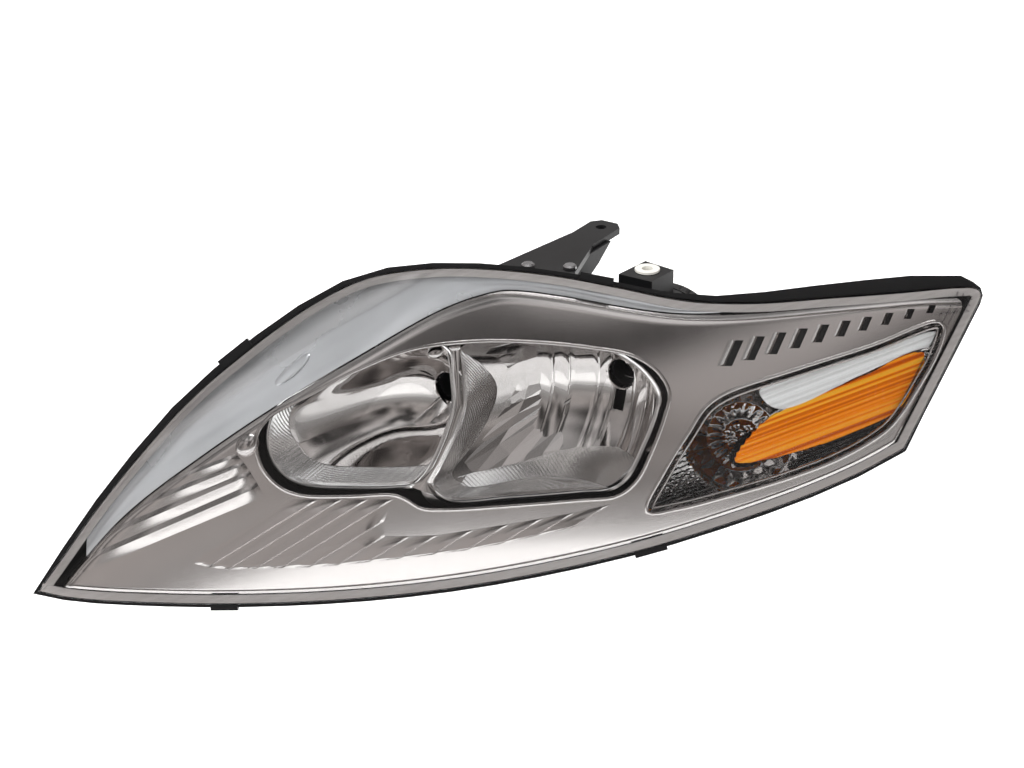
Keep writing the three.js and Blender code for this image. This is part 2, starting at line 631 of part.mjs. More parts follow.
function lowBeamBowl() {
  const lugs = [-1, 1].map((side) =>
    boxSolid(3.5, 30, 12, PIVOT.x + side * 8.2, PIVOT.y - 9, PIVOT.z).subtract(
      rodAlongX(3.3, 6, PIVOT.x + side * 8.2, PIVOT.y, PIVOT.z),
    ),
  );
  let made = cup(LOW, LOW_RIM).add(bulbSeat(LOW)).subtract(hollow(LOW));
  const front = frontOf(LOW, LOW_RIM);
  for (const lug of lugs) made = made.add(lug.subtract(front));
  made = made.add(fork({ x: MOTOR_POD.x, y: ROD_BALL_Y, z: MOTOR_POD.z }).subtract(front));
  made = made.subtract(boxSolid(9, 30, 15, LOW.x, LOW.y, LOW.z - 20));
  return made.add(hingePost(LOW));
}

function highBeamBowl() {
  const front = frontOf(HIGH, HIGH_RIM);
  const { dx, dz, hole } = POSITION_BULB;
  let made = cup(HIGH, HIGH_RIM).add(bulbSeat(HIGH)).subtract(hollow(HIGH));
  made = made.add(rodSolid(hole + 2.5, HIGH.y - 6, HIGH.y + 6, HIGH.x + dx, HIGH.z + dz, 20).subtract(front));
  made = made.subtract(rodSolid(hole, HIGH.y - 20, HIGH.y + 20, HIGH.x + dx, HIGH.z + dz, 20));
  made = made.add(fork(SIDE).subtract(front));
  return made.add(hingePost(HIGH));
}

// Both bowls are one moulding, joined by webs across the narrow space between them.
const WEB = { x: -48, y: 18, heights: [-30, -8, 14] };
function twinReflector() {
  const [lowFront, highFront] = [frontOf(LOW, LOW_RIM), frontOf(HIGH, HIGH_RIM)];
  let made = lowBeamBowl().add(highBeamBowl());
  for (const z of WEB.heights) {
    made = made.add(boxSolid(14, 16, 3, WEB.x, WEB.y, z).subtract(lowFront).subtract(highFront));
  }
  return keepLargest(made);
}

// Everything in front of a reflector's dish, to keep what stands on its back out of the beam.
function frontOf({ x, y, z, focal }, corners) {
  const rimPoints = closedOutline(corners, CUP_POINTS).map(([u, v]) => onFace(u, v, rimHeight(u, v)));
  const far = rimPoints.map((p) => new THREE.Vector3(p.x, y - 250, p.z));
  const dish = (px, pz) => y - ((px - x) ** 2 + (pz - z) ** 2) / (4 * focal) + 0.2;
  const scaled = (t) => rimPoints.map((p) => {
    const [px, pz] = [x + (p.x - x) * t, z + (p.z - z) * t];
    return new THREE.Vector3(px, dish(px, pz), pz);
  });
  const dishes = [1, 0.75, 0.5, 0.25, 0].map(scaled);
  return ringSolid([allAt(far, new THREE.Vector3(x, y - 250, z)), far, ...dishes]);
}

// The post that a bulb's spring clip hinges on, beside the bulb seat.
const CLIP = { arm: 16.5, out: 20, wire: 0.9, legs: 9 };
const hingePost = ({ x, y, z }) => {
  const at = y + SEAT.depth + 2;
  return boxSolid(5, 12, 12, x - CLIP.out, at - 4, z)
    .add(boxSolid(6, 5, 12, x - CLIP.out + 3, at - 7.5, z))
    .subtract(rodAlongZ(1.6, 14, x - CLIP.out, at, z, 12));
};

// ---------------------------------------------------------------- bulb clips
// A bent wire loop: two legs over the bulb's base joined by a cross-bar, swinging on a hinge bar.
function springClip() {
  const { arm, out, wire, legs } = CLIP;
  const bar = (r, length, x) => rodAlongZ(r, length, x, 0, 0, 8);
  let made = bar(1.2, 22, -out).add(bar(wire, 2 * legs + 2 * wire, arm));
  for (const side of [-1, 1]) made = made.add(rodAlongX(wire, arm + out, (arm - out) / 2, 0, side * legs, 8));
  return made;
}

// ---------------------------------------------------------------- aiming gear
function pivotFork() {
  let made = boxSolid(9, 3.6, 19, PIVOT.x, PIVOT.y + 6.8, PIVOT.z);
  for (const side of [-1, 1]) {
    made = made.add(boxSolid(8, 13, 3, PIVOT.x, PIVOT.y + 1, PIVOT.z + side * 8));
    made = made.subtract(rodAlongZ(2.3, 6, PIVOT.x, PIVOT.y, PIVOT.z + side * 8, 16));
  }
  return made;
}

// The cross between the two forks: its upright pins turn in the housing's, its level pins carry the lamps.
function crossShape() {
  const block = solid(new THREE.BoxGeometry(8, 8, 10));
  return block.add(rodAlongX(2.9, 20.5, 0, 0, 0, 16)).add(rodAlongZ(2, 18.5, 0, 0, 0, 16));
}

// A rod with a ball on its front end and a narrow neck behind it; the ball's centre is the origin.
function ballRod(length) {
  const neck = BALL_R + FORK_PLAY + 6;
  const ball = solid(new THREE.SphereGeometry(BALL_R, 16, 12));
  return ball.add(rodSolid(NECK_R, 2, neck + 1, 0, 0, 12)).add(rodSolid(ROD_R, neck, length, 0, 0, 16));
}

// The nut outside the side boss: a toothed wheel for a screwdriver and a hexagon, round the rod.
function sideNut() {
  const wheel = rodSolid(11, 0, 3, 0, 0, 20).add(rodSolid(6, 2, 11, 0, 0, 6));
  return wheel.subtract(rodSolid(ROD_R + 0.4, -1, 12, 0, 0, 16));
}

// ---------------------------------------------------------------- levelling motor
const MOTOR = { width: 38, depth: 34, height: 44, drop: 4 };
const MOTOR_BACK = MOTOR_POD.back + GAP + MOTOR.depth;

function motorCase() {
  const { x, z, back } = MOTOR_POD;
  const middle = back + GAP + MOTOR.depth / 2;
  const spigot = rodSolid(MOTOR_POD.opening - 0.6, back - 5, back + 4, x, z);
  let made = boxSolid(MOTOR.width, MOTOR.depth, MOTOR.height, x, middle, z - MOTOR.drop).add(spigot);
  made = made.subtract(rodSolid(ROD_R + 0.8, back - 6, back + 28, x, z, 16));
  const foot = z - MOTOR.drop - MOTOR.height / 2;
  const socket = boxSolid(18, 14, 12, x, MOTOR_BACK - 10, foot - 3);
  made = made.add(socket).subtract(boxSolid(14, 10, 12, x, MOTOR_BACK - 10, foot - 6));
  return made.subtract(rodSolid(KNOB.shaft + GAP, MOTOR_BACK - 5, MOTOR_BACK + 2, x, z - KNOB.drop, 16));
}

const KNOB = { r: 9, shaft: 3, drop: 12 };
function knobShape() {
  let made = rodSolid(KNOB.r, 0.6, 8, 0, 0, 24).add(rodSolid(KNOB.shaft, -4, 1, 0, 0, 16));
  for (let i = 0; i < 8; i++) {
    const a = (i * Math.PI) / 4;
    made = made.subtract(rodSolid(1.6, 0, 9, KNOB.r * Math.cos(a), KNOB.r * Math.sin(a), 8));
  }
  return made;
}

// ---------------------------------------------------------------- rear covers
// A push-on cover: its skirt slides over the collar and its pull tab stands out behind.
function coverShape({ opening }) {
  const r = opening + COLLAR.wall;
  const section = [[0, 11], [r + 4, 11], [r + 6, 9], [r + 6, 0], [r + 3.4, 0], [r + 3.4, 8], [0, 8]];
  const skirt = turned(section, 32);
  const tab = boxSolid(r * 1.1, 12, 3, 0, 15, 0).subtract(boxSolid(r * 0.5, 6, 4, 0, 16, 0));
  return skirt.add(tab);
}

function coverSeal({ opening }) {
  const r = opening + COLLAR.wall;
  return turned([[r + 0.4, 1], [r + 3, 1], [r + 3, 6], [r + 0.4, 6], [r + 0.4, 1]], 32);
}

// ---------------------------------------------------------------- indicator
const windowEdge = closedOutline(INDICATOR_WINDOW, WINDOW_POINTS);
const windowMiddle = [212, -6];
const bowlMiddle = [182, -28];
const towards = (ring, [cu, cv], t) => ring.map(([u, v]) => [u + (cu - u) * t, v + (cv - v) * t]);
const behindBezel = (depth) => (u, v) => bezelHeight(u, v) - depth;

function indicatorReflector() {
  const front = offset(windowEdge, 5);
  const first = 6.1; // how far behind the bezel's front it starts, clear of the amber band
  const dish = (wall) => [
    lift(towards(front, bowlMiddle, 1), () => wall - 66),
    lift(towards(front, bowlMiddle, 0.6), () => wall - 66),
    lift(towards(front, bowlMiddle, 0.3), () => wall - 57),
    lift(offset(front, -wall), behindBezel(first)),
  ];
  const made = ringSolid([...dish(0), ...dish(CUP_WALL).reverse()]);
  return keepLargest(made.subtract(rodSolid(12, 90, 180, INDICATOR_POD.x, INDICATOR_POD.z, 24)));
}

// The clear inner lens fills the window, set a little way back from the bezel's lip.
function innerLens() {
  const edge = offset(windowEdge, -1.2);
  const at = (t, depth) => lift(towards(edge, windowMiddle, t), behindBezel(depth));
  const rings = (depth) => [1, 0.66, 0.33, 0].map((t) => at(t, depth));
  return ringSolid([...rings(1), ...rings(3.4).reverse()]);
}

// The amber band behind it, from a point by the bulb to a broad end outboard.
const AMBER_BAND = [
  [166, -38], [200, -34], [250, -18], [288, 0], [301, 20],
  [309, 42], [296, 41], [258, 23], [200, -1], [184, -12],
];
function amberFilter() {
  const edge = closedOutline(AMBER_BAND, 28);
  const rings = (depth) => [1, 0.5, 0].map((t) => lift(towards(edge, [245, 4], t), behindBezel(depth)));
  return ringSolid([...rings(4.2), ...rings(7).reverse()]);
}

const INDICATOR_GLASS = [[0, -44], [8, -42.5], [11, -38], [11, -26], [7, -15], [7, -8], [0, -8]];
const INDICATOR_HOLDER = [
  [0, -7.6], [8.5, -7.6], [8.5, -1], [14.4, -1], [14.4, 4], [18, 4], [18, 8], [10, 8], [10, 20], [0, 20],
];
function bulbHolder() {
  let made = turned(INDICATOR_HOLDER, 24);
  for (const side of [-1, 1]) made = made.add(boxSolid(9, 5, 5, side * 12.5, 9.5, 0));
  return made.subtract(boxSolid(11, 14, 11, 0, 16, 0));
}
const holderSeal = () => turned([[14.8, 0.4], [18, 0.4], [18, 3.6], [14.8, 3.6], [14.8, 0.4]], 24);

// The position light's holder pushes into the high beam reflector beside its bulb hole.
function positionHolder() {
  const r = POSITION_BULB.hole - 0.5;
  return turned([[0, -1], [r, -1], [r, 7], [9, 7], [9, 10], [6, 12], [0, 12]], 20);
}
const positionGlass = () => turned([[0, -12], [2.6, -11], [3.2, -8], [3, -1.5], [0, -1.5]], 16);

// ---------------------------------------------------------------- small fittings
// A clip that hooks over the flange's lip and under the flange, following the edge of the lens.
function flangeClip(segment) {
  const under = -FLANGE_DEPTH - FLANGE_LIP;
  const hook = (reach) => [
    [0.6, 2.6], [0.6, 0.8], [reach + 0.5, 0.8], [reach + 0.5, under - 0.6], [reach - 2, under - 0.6],
    [reach - 2, under - 2.4], [reach + 2.3, under - 2.4], [reach + 2.3, 2.6],
  ];
  const hookAt = (i) =>
    hook(flangeReach[i]).map(([out, rise]) => {
      const [u, v] = offset(lensEdge, out)[i];
      return onFace(u, v, rim[i] - LENS_SKIRT + FLANGE_LIP + rise);
    });
  const [a, b] = [hookAt(segment), hookAt(segment + 1)];
  const section = (t) => a.map((p, i) => p.clone().lerp(b[i], t));
  // The hook's middle line, which each end folds onto.
  const folded = (ring) => ring.map((p, i) => p.clone().lerp(ring[(9 - i) % 8], 0.5));
  return ringSolid([folded(section(0.15)), section(0.15), section(0.85), folded(section(0.85))]);
}

// A breather: a plug in the back wall with a round hood.
const VENT_CAP = [[0, -2.4], [2.6, -2.4], [2.6, 0.4], [6.5, 0.4], [6.5, 6], [4.5, 8], [0, 8]];
const ventCap = () => turned(VENT_CAP, 20);

// The upper bolt's sleeve: a flanged tube in the pedestal.
const bushShape = () =>
  turned([[4.2, -13.5], [7.6, -13.5], [7.6, -1.6], [9.5, -1.6], [9.5, 0], [4.2, 0], [4.2, -13.5]], 24);

// Five contact pins on a base in the bottom of the main socket.
function connectorPins() {
  let made = boxSolid(28, 2, 16, 0, 0, 0);
  for (let i = -2; i <= 2; i++) made = made.add(boxSolid(1.2, 9, 1.2, i * 4.8, 4, 0));
  return made;
}

// ---------------------------------------------------------------- putting it together
piece("outer_lens", outerLens(), clear, housing);
piece("lens_seal", lensSeal(), rubber, housing);
piece("main_housing", mainHousing(), blackPlastic, housing);
const envelope = housingEnvelope();
piece("upper_arm", upperArm(envelope), blackPlastic, housing);
piece("bush_pedestal", bushPedestal(envelope), blackPlastic, housing);
piece("lower_foot", lowerFoot(envelope), blackPlastic, housing);
piece("inboard_tab", inboardTab(envelope), blackPlastic, housing);
ARM_SCREWS.forEach(([sx, sy], i) => {
  const screw = piece(`arm_screw_${i + 1}`, bracketScrew(), steel, housing, [sx, sy, ARM_TIP.z]);
  screw.rotation.x = Math.PI / 2;
});
piece("bezel", bezelShape(), chrome, housing);
piece("upper_trim_panel", trimPanel(), satinGrey, housing);
piece("indicator_reflector", indicatorReflector(), chrome, housing);
piece("indicator_inner_lens", innerLens(), clear, housing);
piece("indicator_amber_filter", amberFilter(), amber, housing);
piece("upper_bolt_bush", bushShape(), nylon, housing, [BUSH.x, BUSH.y, BUSH.z]).rotation.x = Math.PI / 2;
piece("pivot_fork", pivotFork(), darkPlastic, housing);
piece("main_connector_pins", connectorPins(), steel, housing, [PLUG.x, PLUG.back - 12.6, PLUG.z]);
CLIP_SEGMENTS.forEach((at, i) => piece(`lens_clip_${i + 1}`, flangeClip(at), blackPlastic, housing));
VENTS.forEach(([u, v], i) => {
  const cap = piece(`vent_cap_${i + 1}`, ventCap(), rubber, housing, onFace(u, v, BACK_H).toArray());
  cap.quaternion.setFromUnitVectors(new THREE.Vector3(0, -1, 0), FACE_H);
});

piece("pivot_cross", crossShape(), nylon, pivotCross, [PIVOT.x, PIVOT.y, PIVOT.z]);
piece("twin_reflector", twinReflector(), chrome, reflectorUnit);
for (const [name, { x, y, z }] of [["low_bulb_clip", LOW], ["high_bulb_clip", HIGH]]) {
  piece(name, springClip(), steel, reflectorUnit, [x, y + SEAT.depth + 2, z]);
}
const positionPlace = [HIGH.x + POSITION_BULB.dx, HIGH.y, HIGH.z + POSITION_BULB.dz];
piece("position_bulb_holder", positionHolder(), rubber, reflectorUnit, positionPlace);
piece("position_bulb", positionGlass(), glass, reflectorUnit, positionPlace);

piece("level_rod", ballRod(44), nylon, aimingGear, [MOTOR_POD.x, ROD_BALL_Y, MOTOR_POD.z]);
piece("side_rod", ballRod(57), nylon, aimingGear, [SIDE.x, SIDE.y, SIDE.z]);
piece("side_adjuster_nut", sideNut(), nylon, aimingGear, [SIDE.x, SIDE_BOSS_END + 0.6, SIDE.z]);
piece("level_motor", motorCase(), darkPlastic, housing);
piece("level_knob", knobShape(), nylon, aimingGear, [MOTOR_POD.x, MOTOR_BACK, MOTOR_POD.z - KNOB.drop]);

for (const [name, p] of [["low_beam", LOW_POD], ["high_beam", HIGH_POD]]) {
  piece(`${name}_cover`, coverShape(p), blackPlastic, covers, [p.x, p.back + 1, p.z]);
  piece(`${name}_cover_seal`, coverSeal(p), rubber, covers, [p.x, p.back + 1, p.z]);
}
indicatorHolder.position.set(INDICATOR_POD.x, INDICATOR_POD.back, INDICATOR_POD.z);
piece("indicator_bulb_holder", bulbHolder(), darkPlastic, indicatorHolder);
piece("indicator_bulb", turned(INDICATOR_GLASS), glass, indicatorHolder);
piece("indicator_holder_seal", holderSeal(), rubber, indicatorHolder);

lamp.position.set(-BUSH.x, -BUSH.y, -BUSH.z);
const headlight = new THREE.Group();
headlight.add(lamp);
export default headlight;
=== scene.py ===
import json
import math

import bmesh
import bpy
import numpy as np
from mathutils import Matrix, Vector

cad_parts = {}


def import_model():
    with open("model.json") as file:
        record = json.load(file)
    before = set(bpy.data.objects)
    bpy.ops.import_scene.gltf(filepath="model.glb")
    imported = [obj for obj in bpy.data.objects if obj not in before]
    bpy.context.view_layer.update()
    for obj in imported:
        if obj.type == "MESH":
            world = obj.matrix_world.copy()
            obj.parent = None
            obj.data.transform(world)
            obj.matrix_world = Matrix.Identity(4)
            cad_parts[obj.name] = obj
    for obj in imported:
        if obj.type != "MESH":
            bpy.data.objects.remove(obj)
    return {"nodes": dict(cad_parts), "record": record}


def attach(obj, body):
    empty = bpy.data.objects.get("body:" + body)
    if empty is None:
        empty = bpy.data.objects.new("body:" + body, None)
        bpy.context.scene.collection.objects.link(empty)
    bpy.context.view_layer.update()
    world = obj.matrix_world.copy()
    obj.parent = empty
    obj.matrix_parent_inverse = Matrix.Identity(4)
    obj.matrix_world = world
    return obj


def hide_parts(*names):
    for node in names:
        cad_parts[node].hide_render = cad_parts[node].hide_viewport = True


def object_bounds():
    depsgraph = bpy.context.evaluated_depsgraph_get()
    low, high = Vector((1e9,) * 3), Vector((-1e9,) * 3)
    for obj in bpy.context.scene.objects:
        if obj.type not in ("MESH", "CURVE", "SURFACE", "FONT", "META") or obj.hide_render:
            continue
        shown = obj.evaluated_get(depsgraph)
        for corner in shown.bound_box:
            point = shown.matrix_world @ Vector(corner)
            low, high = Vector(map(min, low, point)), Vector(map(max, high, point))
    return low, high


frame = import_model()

cad_low, cad_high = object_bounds()

# ---------------------------------------------------------------- sizes shared with the CAD, in mm
SWEEP = math.radians(32)
RAKE = math.radians(24)
ORIGIN = np.array([27.0, 150.0, 66.0])  # the upper fixing bush, in the frame the sizes are given in
LENS_WALL = 3.0
LENS_SKIRT = 14.0
BEZEL_GAP = 12.0
BEZEL_WALL = 2.2
RIM_SET_BACK = 26.0
LOW = {"x": 35, "y": 102, "z": 0, "focal": 27, "hole": 11.5}
HIGH = {"x": -74, "y": 32, "z": -10, "focal": 25, "hole": 11.5}
FACE = np.array([
    [math.cos(SWEEP), -math.sin(SWEEP) * math.sin(RAKE), math.sin(SWEEP) * math.cos(RAKE)],
    [math.sin(SWEEP), math.cos(SWEEP) * math.sin(RAKE), -math.cos(SWEEP) * math.cos(RAKE)],
    [0.0, math.cos(RAKE), math.sin(RAKE)],
])

LENS_LOWER = [
    (-350, -134.5), (-326, -139), (-282, -142), (-208, -143.5), (-126, -140.5), (-52, -133),
    (22, -120.5), (96, -103.5), (162, -83.5), (214, -65.5), (258, -47), (288, -31),
    (300, -24.5)]
LENS_UPPER = [
    (-350, -134.5), (-332, -109), (-308, -75), (-278, -37), (-241, 5), (-200, 41), (-156, 73.5),
    (-123, 92), (-97, 100.5), (-52, 105), (-8, 103.5), (36, 98.5), (81, 90), (114, 83), (140, 79.5),
    (184, 79), (236, 83), (288, 87), (330, 91), (345, 91)]
BEZEL_UPPER = [
    (-334, -132), (-286, -79), (-226, -33), (-163, 9), (-105, 43.5), (-69, 64.5), (-47, 75.5),
    (-25, 83.5), (-3, 88), (36, 84), (81, 76), (114, 71.5), (142, 70.5), (175, 72), (209, 75),
    (255, 79.5), (303, 83.5), (338, 84)]
TWIN_OPENING = [
    (-187, -20), (-184, -40), (-172, -55), (-156, -62), (-120, -63), (-86, -62), (-76, -66), (-66, -72),
    (-48, -73), (0, -70), (50, -66), (78, -63), (92, -52), (104, -28), (113, -3), (116, 12), (108, 27),
    (90, 39), (60, 45), (10, 49.5), (-30, 49.5), (-74, 43.5), (-112, 29), (-150, 9.5), (-178, -6)]
INDICATOR_WINDOW = [
    (101, -75), (122, -73), (162, -63), (206, -50), (243, -36), (272, -20), (284, -10), (303, 18),
    (317, 43), (322, 62), (318, 65), (268, 47), (214, 30), (158, 11), (144, 1), (132, -17), (114, -46)]
AMBER_BAND = [
    (166, -38), (200, -34), (250, -18), (288, 0), (301, 20), (309, 42), (296, 41), (258, 23), (200, -1),
    (184, -12)]
LOW_RIM = [
    (-58, -56), (-46, -66), (0, -64), (50, -60), (74, -57.5), (86, -49), (98, -26), (107, -3), (109, 11),
    (101, 25), (86, 38), (58, 50), (10, 55), (-26, 54), (-37, 46), (-35, 25), (-34, 3), (-41, -20),
    (-51, -41)]
HIGH_RIM = [
    (-180, -20), (-176, -37), (-166, -49), (-152, -55), (-120, -57), (-86, -56.5), (-70, -54), (-60, -42),
    (-50, -20), (-43, 3), (-44, 25), (-47, 44), (-76, 49), (-114, 35), (-150, 17), (-173, 2)]


# ---------------------------------------------------------------- curves and outlines
def curve_through(points):
    """A smooth curve through (u, v) points, as v for any u."""
    p = np.array(points, float)
    slopes = np.empty(len(p))
    for i in range(len(p)):
        a, b = p[max(i - 1, 0)], p[min(i + 1, len(p) - 1)]
        slopes[i] = (b[1] - a[1]) / (b[0] - a[0])

    def value(u):
        u = np.asarray(u, float)
        i = np.clip(np.searchsorted(p[:, 0], u, side="right") - 1, 0, len(p) - 2)
        width = p[i + 1, 0] - p[i, 0]
        t = np.clip((u - p[i, 0]) / width, 0, 1)
        bend = t * (1 - t) * width * ((1 - t) * slopes[i] - t * slopes[i + 1])
        return p[i, 1] + (p[i + 1, 1] - p[i, 1]) * t * t * (3 - 2 * t) + bend

    return value


lens_lower = curve_through(LENS_LOWER)
lens_upper = curve_through(LENS_UPPER)
bezel_upper = curve_through(BEZEL_UPPER)
LENS_LEAF = {
    "tip": -350, "low": 292, "top": 336, "corner": (355.5, 93), "lower": lens_lower, "upper": lens_upper}
BEZEL_LEAF = {
    "tip": -334, "low": 283.5, "top": 326, "corner": (341.5, 84.5),
    "lower": lambda u: lens_lower(u) + 5, "upper": bezel_upper}
CORNER_REACH = 15.0  # how far before the corner the outboard end starts to turn


def offset(points, out):
    """Moves each point of a closed anticlockwise outline out along its corner's normal."""
    p = np.asarray(points, float)
    into = p - np.roll(p, 1, axis=0)
    on = np.roll(p, -1, axis=0) - p
    normals = []
    for edge in (into, on):
        length = np.maximum(np.hypot(edge[:, 0], edge[:, 1]), 1e-9)[:, None]
        normals.append(np.column_stack([edge[:, 1], -edge[:, 0]]) / length)
    total = normals[0] + normals[1]
    size = np.hypot(total[:, 0], total[:, 1])[:, None]
    return p + total / size * (np.asarray(out, float).reshape(-1, 1) / np.maximum(size / 2, 0.4))


def outline_of(leaf, long_steps, end_steps):
    """Points round a leaf: along the lower edge from the tip, straight up the end, round its corner, and
    back along the top."""
    share = (np.arange(long_steps + 1) / long_steps) ** 1.15
    low_u = leaf["tip"] + (leaf["low"] - leaf["tip"]) * share
    top_u = leaf["tip"] + (leaf["top"] - leaf["tip"]) * share
    low = np.column_stack([low_u, leaf["lower"](low_u)])
    top = np.column_stack([top_u, leaf["upper"](top_u)])[1:][::-1]
    corner = np.array(leaf["corner"])
    turn = corner + (low[-1] - corner) * CORNER_REACH / math.dist(corner, low[-1])
    half = end_steps // 2
    t = (np.arange(1, half + 1) / half)[:, None]
    straight = low[-1] + (turn - low[-1]) * t
    t = t[:-1]
    rounded = (turn * (1 - t) + corner * t) * (1 - t) + (corner * (1 - t) + top[0] * t) * t
    end = np.vstack([straight, rounded])
    return np.vstack([low, end, top])


def spine_of(ring, long_steps, end_steps):
    """The line down the middle of a leaf, point for point."""
    n = len(ring)
    spine = np.empty_like(ring)
    for i in range(n):
        if i <= long_steps:
            spine[i] = (ring[i] + ring[(n - i) % n]) / 2
        elif i >= long_steps + end_steps:
            spine[i] = (ring[n - i] + ring[i]) / 2
        else:
            spine[i] = (ring[long_steps] + ring[long_steps + end_steps]) / 2
    return spine


def closed_outline(corners, count):
    """A centripetal Catmull-Rom curve round the corners, as evenly spaced points."""
    c = np.array(corners, float)
    n = len(c)
    fine = []
    for i in range(n):
        p0, p1, p2, p3 = c[(i - 1) % n], c[i], c[(i + 1) % n], c[(i + 2) % n]
        d0, d1, d2 = (max(math.dist(a, b) ** 0.5, 1e-4) for a, b in ((p0, p1), (p1, p2), (p2, p3)))
        t1 = ((p1 - p0) / d0 - (p2 - p0) / (d0 + d1) + (p2 - p1) / d1) * d1
        t2 = ((p2 - p1) / d1 - (p3 - p1) / (d1 + d2) + (p3 - p2) / d2) * d1
        for t in np.arange(40) / 40:
            h = (2 * t**3 - 3 * t**2 + 1, -2 * t**3 + 3 * t**2, t**3 - 2 * t**2 + t, t**3 - t**2)
            fine.append(h[0] * p1 + h[1] * p2 + h[2] * t1 + h[3] * t2)
    fine = np.array(fine + [fine[0]])
    along = np.concatenate([[0], np.cumsum(np.hypot(*np.diff(fine, axis=0).T))])
    at = np.arange(count) / count * along[-1]
    return np.column_stack([np.interp(at, along, fine[:, k]) for k in (0, 1)])


def crossings(outline, rows):
    """Where a closed outline meets each level line: its leftmost and rightmost places on it."""
    a, b = np.asarray(outline), np.roll(outline, -1, axis=0)
    ends = []
    for level in rows:
        crosses = (a[:, 1] <= level) != (b[:, 1] <= level)
        p, q = a[crosses], b[crosses]
        at = p[:, 0] + (level - p[:, 1]) / (q[:, 1] - p[:, 1]) * (q[:, 0] - p[:, 0])
        ends.append((at.min(), at.max()))
    return np.array(ends)


def rows_over(outline, step):
    """Evenly spaced levels from just above the bottom of an outline to just below its top."""
    low, high = outline[:, 1].min() + 0.02, outline[:, 1].max() - 0.02
    return np.linspace(low, high, max(int((high - low) / step), 2))


def clamped_grid(outline, columns, rows):
    """A grid of straight lines squeezed into an outline, as rows of (across, up) points."""
    ends = crossings(outline, rows)
    across = np.clip(np.asarray(columns)[None, :], ends[:, :1], ends[:, 1:])
    return np.dstack([across, np.broadcast_to(np.asarray(rows)[:, None], across.shape)])


# ---------------------------------------------------------------- surfaces over the face
def middle_v(u):
    return -11 + 4 * (u / 100) - 2.3 * (u / 100) ** 2 + 2.2 * (u / 100) ** 3


def lens_height(u, v):
    fall = np.where(u < 0, 26, 46) * (u / 350) ** 2
    crown = 16 * ((v - middle_v(u)) / 110) ** 2
    roll = 30 * (np.maximum(v - bezel_upper(u), 0) / 60) ** 2
    return -fall - crown - roll


def bezel_height(u, v):
    return lens_height(u, v) - BEZEL_GAP


def rim_height(u, v):
    return lens_height(u, v) - RIM_SET_BACK


def on_face(ring, height):
    """(u, v) points and their heights as points in the lamp's frame, mm."""
    ring = np.asarray(ring, float)
    h = np.broadcast_to(height, len(ring))
    return np.column_stack([ring, h]) @ FACE.T


# ---------------------------------------------------------------- meshes
def shade(bm, crease):
    limit = math.radians(crease)
    for face in bm.faces:
        face.smooth = True
    for edge in bm.edges:
        if len(edge.link_faces) != 2 or edge.calc_face_angle(0) > limit:
            edge.smooth = False


def clean_object(name, vertices, faces, crease, turn_out=True):
    """An object from points in mm in the lamp's frame, without double points or empty faces."""
    mesh = bpy.data.meshes.new(name)
    points = (np.asarray(vertices, float) - ORIGIN) / 1000
    mesh.from_pydata([tuple(p) for p in points], [], faces)
    bm = bmesh.new()
    bm.from_mesh(mesh)
    bmesh.ops.remove_doubles(bm, verts=bm.verts, dist=2e-6)
    bmesh.ops.dissolve_degenerate(bm, edges=bm.edges, dist=1e-6)
    if turn_out:
        bmesh.ops.recalc_face_normals(bm, faces=bm.faces)
    shade(bm, crease)
    bm.to_mesh(mesh)
    bm.free()
    made = bpy.data.objects.new(name, mesh)
    bpy.context.scene.collection.objects.link(made)
    return made


def finish_mesh(name, vertices, faces, material, body, crease=32, replaces=(), slot=None, sheet=0):
    """A mesh piece that rides on a body. A sheet's faces already look the right way, and it is given a
    thickness behind them."""
    piece = clean_object(name, vertices, faces, crease, turn_out=not sheet)
    piece.data.materials.append(material)
    if sheet:
        thickness = piece.modifiers.new("thickness", "SOLIDIFY")
        thickness.thickness = sheet / 1000
        thickness.offset = -1
    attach(piece, body)
    if replaces:
        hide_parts(*replaces)
    return piece


def ring_faces(count, rings, loop):
    faces = []
    for k in range(rings if loop else rings - 1):
        a, b = k * count, ((k + 1) % rings) * count
        for i in range(count):
            j = (i + 1) % count
            faces.append((a + i, a + j, b + j, b + i))
    return faces


def ring_piece(name, rings, material, body, loop=False, **options):
    rings = [np.asarray(r) for r in rings]
    faces = ring_faces(len(rings[0]), len(rings), loop)
    return finish_mesh(name, np.vstack(rings), faces, material, body, **options)


def grid_faces(rows, columns):
    """Faces of a grid whose rows go up and columns to the right, looking at the viewer."""
    faces = []
    for i in range(rows - 1):
        for j in range(columns - 1):
            a = i * columns + j
            faces.append((a, a + 1, a + columns + 1, a + columns))
    return faces


def slab(top, bottom):
    """A closed solid between two grids of points, as its vertices and faces."""
    rows, columns = top.shape[:2]
    count = rows * columns
    upper = grid_faces(rows, columns)
    lower = [tuple(count + k for k in face[::-1]) for face in upper]
    border = list(range(columns))
    border += [i * columns + columns - 1 for i in range(1, rows)]
    border += [(rows - 1) * columns + j for j in range(columns - 2, -1, -1)]
    border += [i * columns for i in range(rows - 2, 0, -1)]
    sides = []
    for k, a in enumerate(border):
        b = border[(k + 1) % len(border)]
        sides.append((a, a + count, b + count, b))
    return np.vstack([top.reshape(-1, 3), bottom.reshape(-1, 3)]), upper + lower + sides


def joined(parts):
    """Several solids' vertices and faces as one list of each."""
    vertices, faces, start = [], [], 0
    for points, its_faces in parts:
        vertices.append(points)
        faces += [tuple(start + k for k in face) for face in its_faces]
        start += len(points)
    return np.vstack(vertices), faces


def face_grid(uv, height):
    """A grid of (u, v) points with their heights, as points in the lamp's frame."""
    shape = uv.shape[:2]
    return on_face(uv.reshape(-1, 2), np.asarray(height).reshape(-1)).reshape(*shape, 3)


def in_lamp(xz, y):
    return np.column_stack([xz[:, 0], np.broadcast_to(y, len(xz)), xz[:, 1]])


